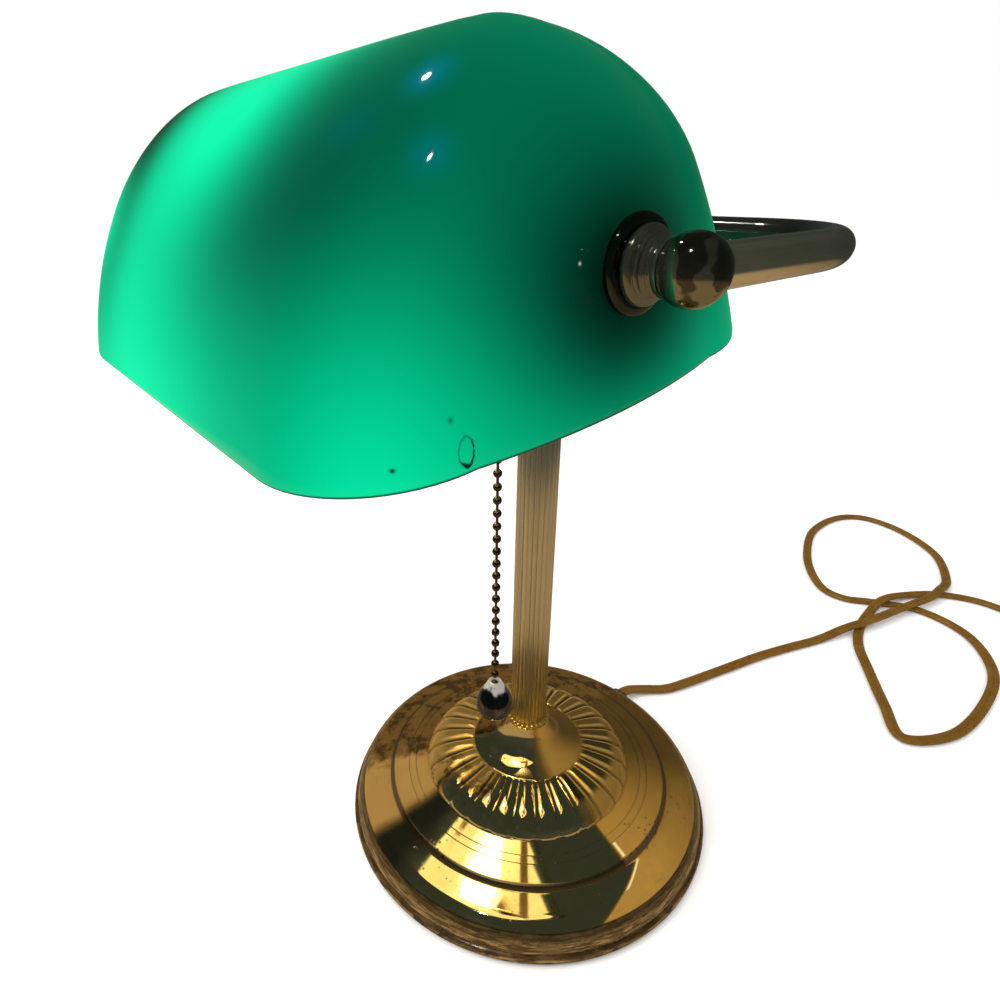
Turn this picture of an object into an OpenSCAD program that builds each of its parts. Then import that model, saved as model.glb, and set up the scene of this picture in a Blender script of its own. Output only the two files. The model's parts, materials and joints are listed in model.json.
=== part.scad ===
// Bankers lamp: a reeded brass stem on a stepped round foot, a U shaped tube arm
// and a tilting cased glass shade over a pull chain socket.
// Millimetres, +Z up, origin at the underside centre of the foot.
// +X points to the photographed pivot ball, -Y to the pull chain side.

/* [Foot] */
// Outer radius of the rim bead
foot_radius = 100.5; // [92:0.5:108]
// Wall of the spun brass shell
foot_wall = 1.2; // [0.8:0.1:1.6]
// Height of the step between the two bands
step_height = 21.8; // [20.5:0.1:22.4]
// Radius of the step between the two bands
step_radius = 78.2; // [76:0.1:80]
// Thickness of the felt pad
pad_thickness = 2.0; // [1:0.5:2.5]

/* [Lobed dome] */
// Number of pressed lobes round the dome
lobe_count = 28; // [20:1:36]
// Height of a lobe over the groove
lobe_rise = 1.9; // [0.5:0.1:2.4]
// Outer radius of the dome
dome_radius = 56.9; // [54:0.1:58]

/* [Stem] */
// Radius over the reeds
stem_radius = 9.7; // [9:0.1:10.4]
// Number of reeds
reed_count = 24; // [18:1:30]
// Outer radius of the threaded pipe
pipe_radius = 4.85; // [4.5:0.05:5.0]
// Bore radius of the threaded pipe
pipe_bore = 3.3; // [2.5:0.1:3.6]

/* [Arm] */
// Outer radius of the arm tube
arm_radius = 4.75; // [4:0.05:5]
// Centreline radius of the two bends
bend_radius = 34.7; // [28:0.1:40]
// Distance of each ball centre from the middle
ball_offset = 121.4; // [120.4:0.1:124]
// Reach of the pivot line in front of the stem
pivot_reach = 83.3; // [82:0.1:86]
// Height of the pivot line
pivot_height = 311.7; // [250:0.1:380]
// Radius of the end balls
ball_radius = 7.35; // [7:0.05:8]
// Radius of the discs against the glass
disc_radius = 10.35; // [9:0.05:11]

/* [Shade] */
// Half length of the opening at its corners
shade_half_length = 104.28; // [103:0.01:104.6]
// Extra half length in the middle of each end
shade_bow = 4.45; // [3:0.05:4.6]
// Half width of the opening
shade_half_width = 73.2; // [70:0.1:74]
// Depth of the bowl over the short skirt
shade_depth = 77.5; // [75:0.5:80]
// Corner radius in plan
corner_radius = 33.7; // [25:0.1:36]
// Radius that rolls each end into the top
roll_radius = 32.5; // [26:0.5:34]
// Whole wall of the cased glass
glass_wall = 4.0; // [3.4:0.1:4.4]
// White inner layer of the cased glass
lining_wall = 1.4; // [1:0.1:1.8]
// Forward tilt of the shade at rest in degrees
rest_tilt = 7.32; // [0:0.01:12]

/* [Socket and bulb] */
// Distance of the lamp axis in front of the stem
socket_reach = 70.9; // [70:0.1:72]
// Drop of the lamp axis under the pivot line
socket_drop = 1.7; // [0.5:0.1:2.5]
// Outer radius of the socket shell
socket_radius = 17.5; // [17:0.1:18]
// Radius of the bulb
bulb_radius = 27.5; // [25:0.5:28]

/* [Pull chain] */
// Radius of a bead
bead_radius = 1.55; // [1.2:0.05:1.6]
// Distance from bead to bead
bead_pitch = 4.85; // [4.5:0.05:5.2]
// Number of hanging beads
bead_count = 25; // [12:1:25]
// Largest radius of the pull
pull_radius = 6.75; // [5:0.05:7]

/* [Cord] */
// Width of the flat two core cord
cord_width = 7.0; // [6:0.1:7.2]
// Thickness of the flat two core cord
cord_thick = 3.6; // [3:0.1:3.8]
/* [Hidden] */
$fa = 6;
$fs = 0.6;
// running clearance of the hinge pins, and the gap kept between other moving parts
run_gap = 0.05;
open_gap = 0.3;
// foot
band = foot_radius - step_radius;
lip_z = pad_thickness;
rim_inner = foot_radius - 1.6 - foot_wall;
dome_z = step_height + 6.7;
seat_z = dome_z + 11.7;
neck_rim = dome_radius - 26.4;
neck_top = 11.2;
neck_wall = 1.8;
// stem stack
flare_top = seat_z + 17.1;
foot_ring_top = flare_top + 2.5;
stem_top = pivot_height - 63.7;
stem_length = stem_top - foot_ring_top;
cap_top = stem_top + 6;
ring_top = cap_top + 2;
hub_top = pivot_height + 8.7;
hub_bottom = pivot_height - 8.7;
pipe_top = pivot_height - arm_radius - 0.5;
bore_fit = pipe_radius + run_gap;
// shade
casing_wall = glass_wall - lining_wall;
pivot_back = 4.19;
pivot_up = 29.44;
shade_skirt = 1.75;
draft = 0.08;
narrowing = 0.3;
shade_power = 2.2;
stud_radius = 3.0;
bush_bore = stud_radius + run_gap;
bush_radius = 4.8;
glass_hole = 5.0;
glass_face = shade_half_length + shade_bow - draft * pivot_up - 0.05;
glass_inner = glass_face - glass_wall;
washer_near_face = glass_inner - 0.5;
disc_face = glass_face + 1.2;
// socket: lamp axis, back of the bulb, front of the switch block, chain and lever
socket_height = pivot_height - socket_drop;
bulb_tip = 45;
block_x = 47.6;
block_depth = 14.4;
chain_x = block_x + 4.2;
lever_y = 9.6 - socket_reach;
lever_z = socket_height - 4.6;
cap_radius = 12.9;
pin_radius = 1.15;

// outer profile of the foot from the rim bead up to the dome seat
function shell_outer() = [
    [foot_radius - 1.9, 0.9], [foot_radius - 0.8, 1.3], [foot_radius - 0.1, 2.4],
    [foot_radius, 3.3], [foot_radius - 0.4, 4.4], [foot_radius - 1.3, 5.1],
    [foot_radius - 2.4, 5.5], [foot_radius - 2.4, 6.0], [foot_radius - 1.9, 6.5],
    [foot_radius - 2.2, 8.0], [foot_radius - 0.13 * band, 9.8], [foot_radius - 0.175 * band, 11.9],
    [foot_radius - 0.235 * band, 14.0], [foot_radius - 0.32 * band, 16.0],
    [foot_radius - 0.43 * band, 17.9], [foot_radius - 0.56 * band, 18.9],
    [foot_radius - 0.74 * band, 19.9], [step_radius + 0.8, step_height - 0.8],
    [step_radius + 0.4, step_height - 0.2], [step_radius - 0.1, step_height + 1.0],
    [step_radius - 0.8, step_height + 1.8], [step_radius - 2.0, step_height + 2.3],
    [step_radius - 6.2, step_height + 3.4], [step_radius - 10.4, step_height + 4.5],
    [step_radius - 14.1, step_height + 5.2], [dome_radius + 3.9, dome_z - 0.7],
    [dome_radius + 1.2, dome_z - 0.15], [dome_radius, dome_z]
];

// spun shell of the foot with its rolled lip and the hole for the cord
module base_shell() color([0.79, 0.62, 0.29]) {
    w = foot_wall;
    inner = [
        [dome_radius - 14, dome_z], [dome_radius - 14, dome_z - w],
        [dome_radius - 0.3, dome_z - w - 0.1], [dome_radius + 3.6, dome_z - 0.9 - w],
        [step_radius - 14.5, step_height + 5.0 - w], [step_radius - 10.8, step_height + 4.3 - w],
        [step_radius - 6.6, step_height + 3.2 - w], [step_radius - 2.6, step_height + 2.1 - w],
        [step_radius - 1.1, step_height - 0.5], [step_radius - 0.6, step_height - 0.6 - w],
        [foot_radius - 0.76 * band, 19.8 - w], [foot_radius - 0.58 * band, 18.8 - w],
        [foot_radius - 0.48 * band, 17.8 - w], [foot_radius - 0.38 * band, 15.9 - w],
        [foot_radius - 0.3 * band, 14.0 - w], [foot_radius - 0.24 * band, 12.0 - w],
        [foot_radius - 4.2, 9.8 - w], [foot_radius - 3.6, 7.6 - w],
        [rim_inner - 0.3, lip_z + w], [foot_radius - 9, lip_z + w],
        [foot_radius - 9, lip_z], [rim_inner, lip_z], [rim_inner, 0.9]
    ];
    difference() {
        rotate_extrude($fn = 180) polygon(concat(shell_outer(), inner));
        cord_place() rotate([90, 0, 90])
            translate([0, 0, -10]) linear_extrude(20) stadium(9.8, 6.2);
    }
}

// felt disc glued under the lip
module base_pad() color([0.10, 0.22, 0.13])
    cylinder(h = lip_z, r = rim_inner - 0.4, $fn = 120);

// cast iron weight with a boss that reaches the dome
module base_weight() color([0.22, 0.22, 0.23]) rotate_extrude($fn = 96)
    polygon([
        [bore_fit, 9], [foot_radius - 0.74 * band, 9], [foot_radius - 0.65 * band, 11],
        [foot_radius - 0.65 * band, 13.2], [foot_radius - 0.92 * band, 16.4],
        [step_radius - 4.2, step_height - 3.2], [step_radius - 18.2, step_height - 2.4],
        [30, step_height - 2.4], [22, step_height + 1.2], [20, dome_z - 1.5], [19, seat_z - 1.2],
        [bore_fit, seat_z - 1.2]
    ]);

// washer and nut that pull the stack together
module base_washer() color([0.62, 0.63, 0.65]) translate([0, 0, 7.8])
    tube(14, bore_fit, 1.2);

module base_nut() color([0.62, 0.63, 0.65]) translate([0, 0, 3.8]) difference() {
    cylinder(h = 4, r = 9.2, $fn = 6);
    translate([0, 0, -1]) cylinder(h = 6, r = bore_fit);
}

// height of the plain dome at radius r
function dome_height(r) = lookup(r, [
    [dome_radius - 26.5, 12.6], [dome_radius - 24.5, 13.3], [dome_radius - 21, 13.0],
    [dome_radius - 17, 12.0], [dome_radius - 13, 10.3], [dome_radius - 9.5, 8.2],
    [dome_radius - 6.5, 5.9], [dome_radius - 3.8, 3.5], [dome_radius - 1.6, 1.4],
    [dome_radius, 0.25]
]);
// share of the lobe rise at radius r
function lobe_share(r) = lookup(r, [
    [dome_radius - 26.6, 0.0], [dome_radius - 26, 0.55], [dome_radius - 24.5, 0.9],
    [dome_radius - 20, 1], [dome_radius - 10, 1], [dome_radius - 7.6, 0.85],
    [dome_radius - 5.4, 0.35], [dome_radius - 3, 0.22], [dome_radius, 0.2]
]);
// convex lobe with a sharp groove on each side, u is 0 to 1 across one lobe
function lobe_form(u) = 1 - pow(abs(2 * u - 1), 2.4);

// pressed dome with its ring of lobes
module gadroon_dome() color([0.80, 0.62, 0.28]) {
    radii = [for (d = [0, 1.6, 3.8, 5.4, 6.9, 8.6, 11, 14, 17.5, 21, 24, 26, 26.9]) dome_radius - d];
    per = 6;
    n = lobe_count * per;
    m = len(radii);
    w = 1.0;
    top = [for (j = [0:m - 1]) for (i = [0:n - 1])
        let (f = lobe_form((i % per) / per), a = 360 * i / n,
             s = j == 0 ? 0.35 * f : 0,
             r = radii[j] - s,
             z = dome_z + dome_height(radii[j]) - lobe_rise * lobe_share(radii[j]) * (1 - f))
        [r * cos(a), r * sin(a), max(z, dome_z + 0.05)]];
    // smooth underside
    under_r = [dome_radius - 2.6, dome_radius - 8, dome_radius - 13, dome_radius - 19, dome_radius - 26.9];
    under_z = [0, 4.0, 7.0, 9.5, 10.4];
    low = [for (j = [0:4]) for (i = [0:n - 1])
        [under_r[j] * cos(360 * i / n), under_r[j] * sin(360 * i / n), dome_z + under_z[j]]];
    k = m + 5;
    polyhedron(concat(top, low), concat(
        [for (j = [0:k - 2]) for (i = [0:n - 1]) [j * n + i, j * n + (i + 1) % n, (j + 1) * n + i]],
        [for (j = [0:k - 2]) for (i = [0:n - 1])
            [j * n + (i + 1) % n, (j + 1) * n + (i + 1) % n, (j + 1) * n + i]],
        [for (i = [0:n - 1]) [(k - 1) * n + i, (k - 1) * n + (i + 1) % n, i]],
        [for (i = [0:n - 1]) [(k - 1) * n + (i + 1) % n, (i + 1) % n, i]]
    ));
}

// radius of the neck at a share of the way from its top out to its rim
function neck_at(share) = neck_top + (neck_rim - neck_top) * share;
// trumpet shaped neck with a thin wall
module neck_flare() color([0.80, 0.63, 0.30]) rotate_extrude($fn = 120) polygon([
    [bore_fit, seat_z - 1.2], [neck_rim, seat_z - 1.2], [neck_rim, seat_z - 0.4],
    [neck_rim - 1.1, seat_z + 0.3], [neck_at(0.90), seat_z + 0.4], [neck_at(0.79), seat_z + 0.8],
    [neck_at(0.62), seat_z + 1.6], [neck_at(0.465), seat_z + 2.9], [neck_at(0.33), seat_z + 4.8],
    [neck_at(0.22), seat_z + 7.2], [neck_at(0.14), seat_z + 9.9], [neck_at(0.07), seat_z + 12.8],
    [neck_at(0.02), seat_z + 15.6], [neck_top, seat_z + 17.1], [bore_fit, flare_top],
    [bore_fit, flare_top - 2], [neck_top - 1.6, flare_top - 2.4],
    [neck_at(0.08) - neck_wall, seat_z + 12.2], [neck_at(0.145) - neck_wall, seat_z + 9.3],
    [neck_at(0.24) - neck_wall, seat_z + 6.5], [neck_at(0.37) - neck_wall, seat_z + 3.8],
    [neck_at(0.53) - neck_wall, seat_z + 1.8], [neck_at(0.695) - neck_wall, seat_z + 0.5],
    [neck_at(0.81) - neck_wall, seat_z + 0], [bore_fit, seat_z + 0]
]);

// small ring with a scalloped edge under the stem
module stem_foot_ring() color([0.85, 0.68, 0.33]) translate([0, 0, flare_top]) difference() {
    union() {
        cylinder(h = 1.0, r = 11.4);
        translate([0, 0, 1.0]) linear_extrude(1.5) union() {
            circle(r = 10.2);
            for (i = [0:reed_count - 1]) rotate(i * 360 / reed_count)
                translate([10.15, 0]) circle(r = 0.95, $fn = 24);
        }
    }
    translate([0, 0, -1]) cylinder(h = 5, r = bore_fit);
}

// reeded tube of the stem
module stem_tube() color([0.77, 0.66, 0.42]) translate([0, 0, foot_ring_top])
    linear_extrude(stem_length) difference() {
        union() {
            circle(r = stem_radius - 0.85);
            for (i = [0:reed_count - 1]) rotate(i * 360 / reed_count)
                translate([stem_radius - 1.15, 0]) circle(r = 1.15, $fn = 24);
        }
        circle(r = 7.4);
    }

// turned cap that closes the tube and centres it on the pipe
module stem_cap() color([0.79, 0.62, 0.29]) rotate_extrude() polygon([
    [bore_fit, stem_top], [10.6, stem_top], [11, stem_top + 0.6], [11, stem_top + 2.2],
    [10.2, stem_top + 3.2], [9.2, stem_top + 4.6], [8.6, cap_top], [bore_fit, cap_top]
]);

// threaded pipe that carries the whole lamp, with the wires inside
module lamp_pipe() color([0.66, 0.62, 0.50]) translate([0, 0, 3.4])
    tube(pipe_radius, pipe_bore, pipe_top - 3.4);

// plain sleeve over the pipe above the bracket
module neck_sleeve() color([0.79, 0.62, 0.29]) translate([0, 0, ring_top])
    tube(6.4, bore_fit, hub_bottom - ring_top);

// hub with a cross bore for the arm
module arm_hub() color([0.79, 0.62, 0.29]) difference() {
    rotate_extrude() polygon([
        [0, hub_bottom], [6.2, hub_bottom], [6.6, hub_bottom + 0.6], [6.6, hub_top - 0.8],
        [6.0, hub_top], [0, hub_top]
    ]);
    translate([0, 0, hub_bottom - 1]) cylinder(h = pipe_top - hub_bottom + 1, r = bore_fit);
    translate([-20, 0, pivot_height]) rotate([0, 90, 0]) cylinder(h = 40, r = arm_radius + run_gap);
}

// small finial screwed on the hub
module hub_finial() color([0.81, 0.64, 0.30]) rotate_extrude() polygon([
    [0, hub_top], [6.2, hub_top], [6.2, hub_top + 0.8], [5.2, hub_top + 1.7],
    [3.4, hub_top + 2.2], [3.2, hub_top + 2.9], [4.1, hub_top + 4.3], [4.1, hub_top + 5.6],
    [3.2, hub_top + 6.9], [1.6, hub_top + 7.7], [0, hub_top + 8]
]);

// U shaped tube: cross member, two bends and two legs
module arm_path(r) {
    span = ball_offset - bend_radius;
    leg = pivot_reach - bend_radius - ball_radius + 2.4;
    translate([-span, 0, 0]) rotate([0, 90, 0]) cylinder(h = 2 * span, r = r, $fn = 48);
    for (s = [0, 1]) mirror([s, 0, 0]) {
        translate([span, -bend_radius, 0]) rotate_extrude(angle = 90, $fn = 96)
            translate([bend_radius, 0]) circle(r = r, $fn = 48);
        translate([ball_offset, -bend_radius, 0]) rotate([90, 0, 0])
            cylinder(h = leg, r = r, $fn = 48);
    }
}

module shade_arm() color([0.79, 0.61, 0.29]) translate([0, 0, pivot_height]) difference() {
    arm_path(arm_radius);
    arm_path(arm_radius - 1.3);
}

// ball bored for the end of the arm and for the stud
module ball() at_pivot() difference() {
    translate([0, 0, ball_offset]) sphere(r = ball_radius, $fn = 60);
    translate([0, 0, ball_offset]) rotate([-90, 0, 0]) translate([0, 0, ball_radius - 2.45])
        cylinder(h = 6, r = arm_radius + run_gap);
    translate([0, 0, ball_offset - 20]) cylinder(h = 19, r = stud_radius + run_gap);
}

module arm_ball_near() color([0.79, 0.61, 0.29]) ball();
module arm_ball_far() color([0.79, 0.61, 0.29]) mirror([1, 0, 0]) ball();

// stepped collar between ball and disc
module pivot_collar() at_pivot() rotate_extrude() polygon([
    [bush_bore, disc_face + 2.4], [8.0, disc_face + 2.4], [8.2, disc_face + 2.9],
    [8.2, disc_face + 3.9], [7.4, disc_face + 4.7], [6.2, disc_face + 5.0],
    [6.0, disc_face + 5.6], [6.0, ball_offset - 4.6], [bush_bore, ball_offset - 6.55]
]);
module pivot_collar_near() color([0.79, 0.61, 0.29]) pivot_collar_solid();
module pivot_collar_far() color([0.79, 0.61, 0.29]) mirror([1, 0, 0]) pivot_collar_solid();
module pivot_collar_solid() difference() {
    pivot_collar();
    at_pivot() translate([0, 0, ball_offset]) sphere(r = ball_radius + 0.02, $fn = 60);
}

// turned disc that faces the glass
module outer_disc() at_pivot() rotate_extrude() polygon([
    [bush_bore, disc_face], [disc_radius - 0.5, disc_face], [disc_radius, disc_face + 0.5],
    [disc_radius, disc_face + 1.5], [disc_radius - 0.9, disc_face + 2.2],
    [disc_radius - 2.0, disc_face + 2.4], [bush_bore, disc_face + 2.4]
]);
module outer_disc_near() color([0.79, 0.61, 0.29]) outer_disc();
module outer_disc_far() color([0.79, 0.61, 0.29]) mirror([1, 0, 0]) outer_disc();

// stud on which the shade turns
stud_end = glass_inner - 9.6;
module stud() at_pivot() translate([0, 0, stud_end])
    cylinder(h = ball_offset - 1.4 - stud_end, r = stud_radius);
module pivot_stud_near() color([0.66, 0.66, 0.68]) stud();
module pivot_stud_far() color([0.66, 0.66, 0.68]) mirror([1, 0, 0]) stud();

// spring washer and nut inside the shade, one set per end
flange_in = washer_near_face - 3.6;
module spring_washers() color([0.62, 0.63, 0.65]) both_ends() at_pivot()
    translate([0, 0, flange_in - open_gap - 0.9]) tube(6.2, bush_bore, 0.9);
module clamp_nuts() color([0.79, 0.62, 0.29]) both_ends() at_pivot()
    translate([0, 0, flange_in - open_gap - 0.9 - 4]) difference() {
        cylinder(h = 4, r = 6.4, $fn = 6);
        translate([0, 0, -1]) cylinder(h = 6, r = bush_bore);
    }

// flanged bush that lines the hole in the glass
module pivot_bushes() color([0.80, 0.66, 0.36]) both_ends() at_pivot() difference() {
    union() {
        translate([0, 0, flange_in]) cylinder(h = 1.4, r = 7.5);
        translate([0, 0, flange_in]) cylinder(h = glass_face + 0.5 - flange_in, r = bush_radius);
    }
    translate([0, 0, flange_in - 1]) cylinder(h = 20, r = bush_bore);
}

// rubber washer laid against the sloping inner face of the glass
module rubber_washers() color([0.12, 0.12, 0.12]) both_ends() at_pivot()
    translate([0, 0, washer_near_face]) rotate([0, -atan(draft), 0]) translate([0, 0, -1.4])
        tube(7.6, bush_radius + 0.3, 1.4);

// plan point i of one ring: half sizes a and b, corner rc, end bow
steps_end = 3;
steps_arc = 6;
quarter = steps_end + steps_arc + 1;
function quarter_point(i, a, b, rc, bow) = i < steps_end
    ? [a + bow * (1 - pow(i / steps_end, 2)), i / steps_end * (b - rc)]
    : [a - rc + rc * cos((i - steps_end) * 90 / steps_arc),
       b - rc + rc * sin((i - steps_end) * 90 / steps_arc)];
function plan_point(i, a, b, rc, bow) = let (q = floor(i / quarter), m = i % quarter)
    q == 0 ? quarter_point(m, a, b, rc, bow)
    : q == 1 ? let (p = quarter_point(quarter - 1 - m, a, b, rc, bow)) [-p[0], p[1]]
    : q == 2 ? let (p = quarter_point(m, a, b, rc, bow)) [-p[0], -p[1]]
    : let (p = quarter_point(quarter - 1 - m, a, b, rc, bow)) [p[0], -p[1]];
// the doubled points on the X axis are left out
plan_count = 4 * quarter - 2;
function plan_index(i) = i < 2 * quarter - 1 ? i : i + 1;
shade_levels = [0, 5, 10, 16, 22, 28, 34, 40, 46, 52, 58, 64, 70, 76, 81, 85.5];
// one ring of the bowl, t is the distance in from the outer surface
function shade_ring(phi, t) =
    let (bz = shade_depth - t, h = sin(phi), z = bz * h,
         rt = roll_radius - t, dz = max(0, z - (bz - rt)),
         ex = rt - sqrt(max(0, rt * rt - dz * dz)),
         wy = (1 - narrowing * h) * pow(1 - pow(h, shade_power), 1 / shade_power))
    [for (i = [0:plan_count - 1])
        let (p = plan_point(plan_index(i), shade_half_length - t, shade_half_width - t,
                            corner_radius - t, shade_bow))
        [sign(p[0]) * (abs(p[0]) - draft * z - ex), p[1] * wy, z]];
function shade_skin(t) = concat(
    [for (p = shade_ring(0, t)) [p[0], p[1], -shade_skirt]],
    [for (phi = shade_levels) for (p = shade_ring(phi, t)) p]);

// glass bowl between two depths of the wall
module bowl(t0, t1) {
    n = plan_count;
    m = len(shade_levels) + 1;
    s = m * n;
    polyhedron(concat(shade_skin(t0), shade_skin(t1)), concat(
        [for (j = [0:m - 2]) for (i = [0:n - 1]) [j * n + i, (j + 1) * n + i, j * n + (i + 1) % n]],
        [for (j = [0:m - 2]) for (i = [0:n - 1])
            [j * n + (i + 1) % n, (j + 1) * n + i, (j + 1) * n + (i + 1) % n]],
        [for (j = [0:m - 2]) for (i = [0:n - 1])
            [s + j * n + i, s + j * n + (i + 1) % n, s + (j + 1) * n + i]],
        [for (j = [0:m - 2]) for (i = [0:n - 1])
            [s + j * n + (i + 1) % n, s + (j + 1) * n + (i + 1) % n, s + (j + 1) * n + i]],
        [for (i = [0:n - 1]) [i, (i + 1) % n, s + i]],
        [for (i = [0:n - 1]) [(i + 1) % n, s + (i + 1) % n, s + i]],
        [[for (i = [n - 1:-1:0]) (m - 1) * n + i]],
        [[for (i = [0:n - 1]) s + (m - 1) * n + i]]
    ));
}

// bowl coordinates to their place on the pivot line
module bowl_place() translate([0, -pivot_reach, pivot_height]) rotate([rest_tilt, 0, 0])
    translate([0, -pivot_back, -pivot_up]) children();

module glass_layer(t0, t1) difference() {
    bowl_place() bowl(t0, t1);
    both_ends() at_pivot() translate([0, 0, 80]) cylinder(h = 40, r = glass_hole);
}
module shade_casing() color([0.02, 0.38, 0.26]) glass_layer(0, casing_wall);
module shade_lining() color([0.93, 0.94, 0.90]) glass_layer(casing_wall, glass_wall);

// strap from the pipe to the socket, under the rim of the shade
plate_x = 83.2;
strap_angle = atan2(-socket_reach, plate_x);
strap_run = norm([plate_x, socket_reach]);
module socket_bracket() color([0.66, 0.60, 0.46]) difference() {
    union() {
        translate([0, 0, cap_top]) linear_extrude(2) difference() {
            union() {
                circle(r = 9.5);
                rotate(strap_angle) translate([0, -6]) square([64, 12]);
            }
            circle(r = bore_fit);
        }
        rotate([0, 0, strap_angle]) translate([0, 5.8, 0]) rotate([90, 0, 0]) linear_extrude(11.6)
            polygon([
                [61, cap_top + 0.4], [64, cap_top + 0.4], [strap_run - 11.3, cap_top + 13],
                [strap_run + 2.7, cap_top + 13], [strap_run + 2.7, cap_top + 15],
                [strap_run - 11.7, cap_top + 15], [60.5, cap_top + 1.5]
            ]);
        translate([plate_x - 1, -socket_reach - 6.5, cap_top + 13.5])
            cube([5, 13, socket_height - 2.5 - cap_top]);
    }
    translate([70, -socket_reach, socket_height]) rotate([0, 90, 0]) cylinder(h = 30, r = bore_fit);
    translate([plate_x + 1, -socket_reach - 22, cap_top + 4]) cube([20, 44, 70]);
}

// threaded nipple and locknut behind the socket
module socket_nipple() color([0.66, 0.62, 0.50]) at_socket() translate([0, 0, 76])
    tube(pipe_radius, pipe_bore, 13);
module socket_locknut() color([0.62, 0.63, 0.65]) at_socket() translate([0, 0, 84.2]) difference() {
    cylinder(h = 3.6, r = 8.6, $fn = 6);
    translate([0, 0, -1]) cylinder(h = 6, r = bore_fit);
}

// domed cap of the socket
module socket_cap() color([0.80, 0.62, 0.28]) at_socket() rotate_extrude() polygon([
    [socket_radius - 0.1, 62.3], [socket_radius + 0.7, 62.3], [socket_radius + 0.7, 66],
    [socket_radius + 0.2, 68.2], [socket_radius - 1.4, 71.2], [socket_radius - 4.6, 74.2],
    [socket_radius - 8.6, 76.2], [7.8, 77.4], [7.6, 81.2], [7.0, 82.2], [bore_fit, 82.2],
    [bore_fit, 76.2], [7.4, 75.4], [socket_radius - 5.2, 73.4], [socket_radius - 2.2, 70.6],
    [socket_radius - 0.6, 67.6], [socket_radius - 0.1, 65.6]
]);

// brass shell with the hole for the chain guide and a rolled mouth
module socket_shell() color([0.80, 0.62, 0.28]) difference() {
    at_socket() rotate_extrude() polygon([
        [socket_radius - 0.6, 18.6], [socket_radius - 0.6, 64.8], [socket_radius - 0.1, 64.8],
        [socket_radius - 0.1, 22], [socket_radius + 0.5, 21], [socket_radius + 0.8, 19.6],
        [socket_radius + 0.4, 18.4], [socket_radius - 0.2, 18]
    ]);
    translate([chain_x, -socket_reach, socket_height - 30]) cylinder(h = 25, r = 3.2);
}

// insulating sleeve inside the shell
module socket_liner() color([0.30, 0.26, 0.20]) difference() {
    at_socket() translate([0, 0, 19.2]) tube(socket_radius - 0.65, socket_radius - 1.7, 44.8);
    translate([chain_x, -socket_reach, socket_height - 30]) cylinder(h = 25, r = 3.2);
}

// moulded block with the well for the switch
module switch_block() color([0.14, 0.12, 0.11]) difference() {
    at_socket() translate([0, 0, block_x]) cylinder(h = block_depth, r = socket_radius - 1.75);
    translate([chain_x - 2.9, -socket_reach - 4, socket_height - 30]) cube([5.8, 18.5, 36]);
    translate([block_x - 0.6, lever_y, lever_z]) rotate([0, 90, 0])
        cylinder(h = 11, r = pin_radius + run_gap);
}

// pin of the switch lever
module lever_pin() color([0.66, 0.66, 0.68]) translate([block_x + 0.3, lever_y, lever_z])
    rotate([0, 90, 0]) cylinder(h = 9.8, r = pin_radius);

// threaded contact shell, plain bore for the bulb cap
module screw_shell() color([0.76, 0.74, 0.68]) at_socket() rotate_extrude() polygon([
    [13.3, 20.4], [14.4, 20.4], [14.0, 21.2], [14.0, block_x - 1], [15.2, block_x - 1], [15.2, block_x],
    [13.3, block_x]
]);

// spring tongue under the bulb
module centre_contact() color([0.82, 0.68, 0.36]) at_socket() translate([0, 0, bulb_tip + 0.3])
    cylinder(h = block_x - bulb_tip - 0.3, r = 3.2);

// two terminal screws on the back of the block
module terminal_screws() color([0.72, 0.66, 0.50]) at_socket()
    for (s = [-1, 1]) translate([0, 9 * s, block_x + block_depth]) difference() {
        cylinder(h = 1.8, r = 2.6);
        translate([-4, -0.4, 1.1]) cube([8, 0.8, 1]);
    }

// bell mouthed guide under the shell
guide_z = socket_height - socket_radius;
module chain_guide() color([0.80, 0.62, 0.28]) translate([chain_x, -socket_reach, 0]) rotate_extrude()
    polygon([
        [bead_radius + 0.45, guide_z - 5.9], [bead_radius + 1.3, guide_z - 6.5],
        [bead_radius + 2.0, guide_z - 6.1], [bead_radius + 1.6, guide_z - 4.2],
        [bead_radius + 1.5, guide_z - 0.6], [bead_radius + 3.4, guide_z - 0.4],
        [bead_radius + 3.4, guide_z - 0.05], [3.1, guide_z - 0.05], [3.1, guide_z + 1.6],
        [bead_radius + 0.45, guide_z + 1.6]
    ]);

// lever of the switch, turned by the chain
module switch_lever() color([0.70, 0.62, 0.42]) translate([chain_x, lever_y, lever_z])
    difference() {
        union() {
            rotate([0, 90, 0]) translate([0, 0, -2.3]) cylinder(h = 4.6, r = 3.2);
            rotate([-24, 0, 0]) translate([-1.6, -10.6, -1.2]) cube([3.2, 10.6, 2.4]);
        }
        rotate([0, 90, 0]) translate([0, 0, -4]) cylinder(h = 8, r = pin_radius + run_gap);
    }

// short length of chain that slides in the guide
module beads(count) union() {
    for (i = [0:count - 1]) translate([0, 0, -i * bead_pitch]) sphere(r = bead_radius, $fn = 24);
    translate([0, 0, -(count - 1) * bead_pitch]) cylinder(h = (count - 1) * bead_pitch, r = 0.55, $fn = 16);
}
module chain_top() color([0.45, 0.34, 0.20]) translate([chain_x, -socket_reach, 0]) union() {
    translate([0, 0, guide_z + 5.2]) beads(3);
    translate([0, 0, chain_first + bead_radius + open_gap])
        cylinder(h = 2 * bead_pitch + 13.1, r = 0.55, $fn = 16);
}

// hanging chain
chain_first = guide_z + 5.2 - 3 * bead_pitch;
chain_last = chain_first - (bead_count - 1) * bead_pitch;
module pull_chain() color([0.45, 0.34, 0.20]) translate([chain_x, -socket_reach, chain_first])
    beads(bead_count);

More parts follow.
